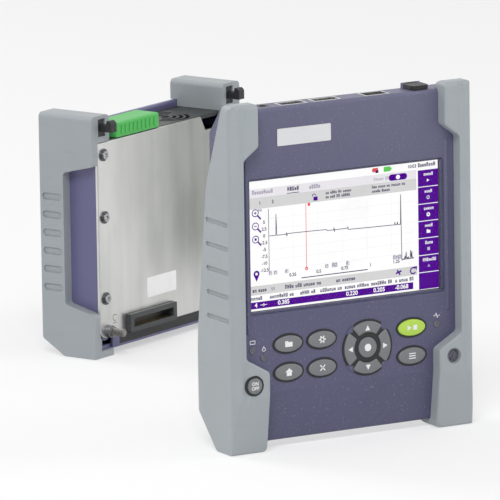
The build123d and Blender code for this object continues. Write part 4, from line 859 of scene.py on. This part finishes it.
# %% Floor, world and lamps
floor_finish = Finish("floor_paper", base_color=(0.93, 0.93, 0.93), roughness=0.8)
floor_cloud = floor_finish.noise(0.4, 2.0)
floor_finish.set(roughness=0.78 + 0.06 * floor_cloud)
glow = floor_finish.node("ShaderNodeEmission", {}, {"Color": (1, 1, 1, 1)})
camera_ray = floor_finish.node("ShaderNodeLightPath", {}, {}, "Is Camera Ray")
paper = Signal(floor_finish, floor_finish.shader.outputs[0])
floor_lift = 0.5
lifted = floor_finish.node("ShaderNodeMixShader", {}, {0: floor_lift * camera_ray, 1: paper, 2: glow})
floor_finish.plug(floor_finish.tree.nodes["Material Output"].inputs["Surface"], lifted)
floor_size = 30.0
floor_gap = 0.0002
sides = ((-1, -1), (1, -1), (1, 1), (-1, 1))
mesh = bpy.data.meshes.new("floor")
mesh.from_pydata([(x * floor_size, y * floor_size, 0) for x, y in sides], [], [(0, 1, 2, 3)])
mesh.materials.append(floor_finish.material)
floor = bpy.data.objects.new("floor", mesh)
floor.location.z = solid_low.z - floor_gap
bpy.context.scene.collection.objects.link(floor)
floor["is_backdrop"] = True

world = bpy.data.worlds.new("studio")
world.use_nodes = True
bpy.context.scene.world = world
tree = world.node_tree
sky = tree.nodes["Background"]
path = tree.nodes.new("ShaderNodeLightPath")
seen = tree.nodes.new("ShaderNodeMath")
seen.operation = "MAXIMUM"
tree.links.new(path.outputs["Is Camera Ray"], seen.inputs[0])
tree.links.new(path.outputs["Is Glossy Ray"], seen.inputs[1])
strength = tree.nodes.new("ShaderNodeMapRange")
light_strength, white_strength = 0.46, 1.0
strength.inputs["To Min"].default_value = light_strength
strength.inputs["To Max"].default_value = white_strength
tree.links.new(seen.outputs[0], strength.inputs["Value"])
tree.links.new(strength.outputs[0], sky.inputs["Strength"])
sky.inputs["Color"].default_value = (1, 1, 1, 1)

middle_point = (solid_low + solid_high) / 2


def lamp(name, place, size, watts):
    """A soft square lamp that points at the middle of the pair."""
    data = bpy.data.lights.new(name, "AREA")
    data.size = size
    data.energy = watts
    light = bpy.data.objects.new(name, data)
    light.location = place
    light.rotation_euler = (middle_point - Vector(place)).to_track_quat("-Z", "Y").to_euler()
    bpy.context.scene.collection.objects.link(light)


lamp("key_lamp", (-1.1, -1.5, 1.9), 0.9, 31)
lamp("side_lamp", (1.6, -0.9, 1.0), 1.0, 8)
lamp("back_lamp", (-0.8, 1.6, 1.5), 0.9, 15)
print("studio: floor, world and three lamps")

# %% [markdown]
# ## Camera
# The picture was taken with a long lens, so parallel edges stay nearly parallel. The camera stands four
# metres off, 29 degrees to the left of the base unit's front and 11 degrees above it.

# %% The camera at the photograph's angle
azimuth = radians(-29.4)
elevation = radians(11.1)
roll = radians(0.9)
distance = 4.0
pixels_per_metre = 2010.0
picture_size = 500
half_picture = 250
base_across, base_down = 314, 262
aim = Vector((-0.0179, -0.1254, 0.085))
ahead = Vector((-sin(azimuth) * cos(elevation), cos(azimuth) * cos(elevation), -sin(elevation)))
right = Vector((cos(azimuth), sin(azimuth), 0))
up = right.cross(ahead)
turned_right = right * cos(roll) + up * sin(roll)
turned_up = up * cos(roll) - right * sin(roll)
aim = aim - turned_right * (base_across - half_picture) / pixels_per_metre
aim = aim + turned_up * (base_down - half_picture) / pixels_per_metre

camera_data = bpy.data.cameras.new("camera")
camera_data.sensor_width = 36.0
camera_data.lens = pixels_per_metre * distance * camera_data.sensor_width / picture_size
camera_data.clip_end = 100.0
camera = bpy.data.objects.new("camera", camera_data)
camera.location = aim - ahead * distance
camera.rotation_mode = "QUATERNION"
camera.rotation_quaternion = ahead.to_track_quat("-Z", "Y")
bpy.context.scene.collection.objects.link(camera)
bpy.context.view_layer.update()
camera.rotation_mode = "XYZ"
camera.rotation_euler.rotate_axis("Z", -roll)
bpy.context.scene.camera = camera
bpy.context.scene.view_settings.view_transform = "Standard"
print("camera", [round(v, 3) for v in camera.location], "lens", round(camera_data.lens))

# %% [markdown]
# ## Check and finish
# Dressing should leave the solids' size unchanged, so the growth of the dressed model's box over the solids'
# box is printed.

# %% Print how much the box grew
dressed_low, dressed_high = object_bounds()
growth = (dressed_high - dressed_low) - (solid_high - solid_low)
print("grown by", [round(v * 1000, 3) for v in growth], "mm")
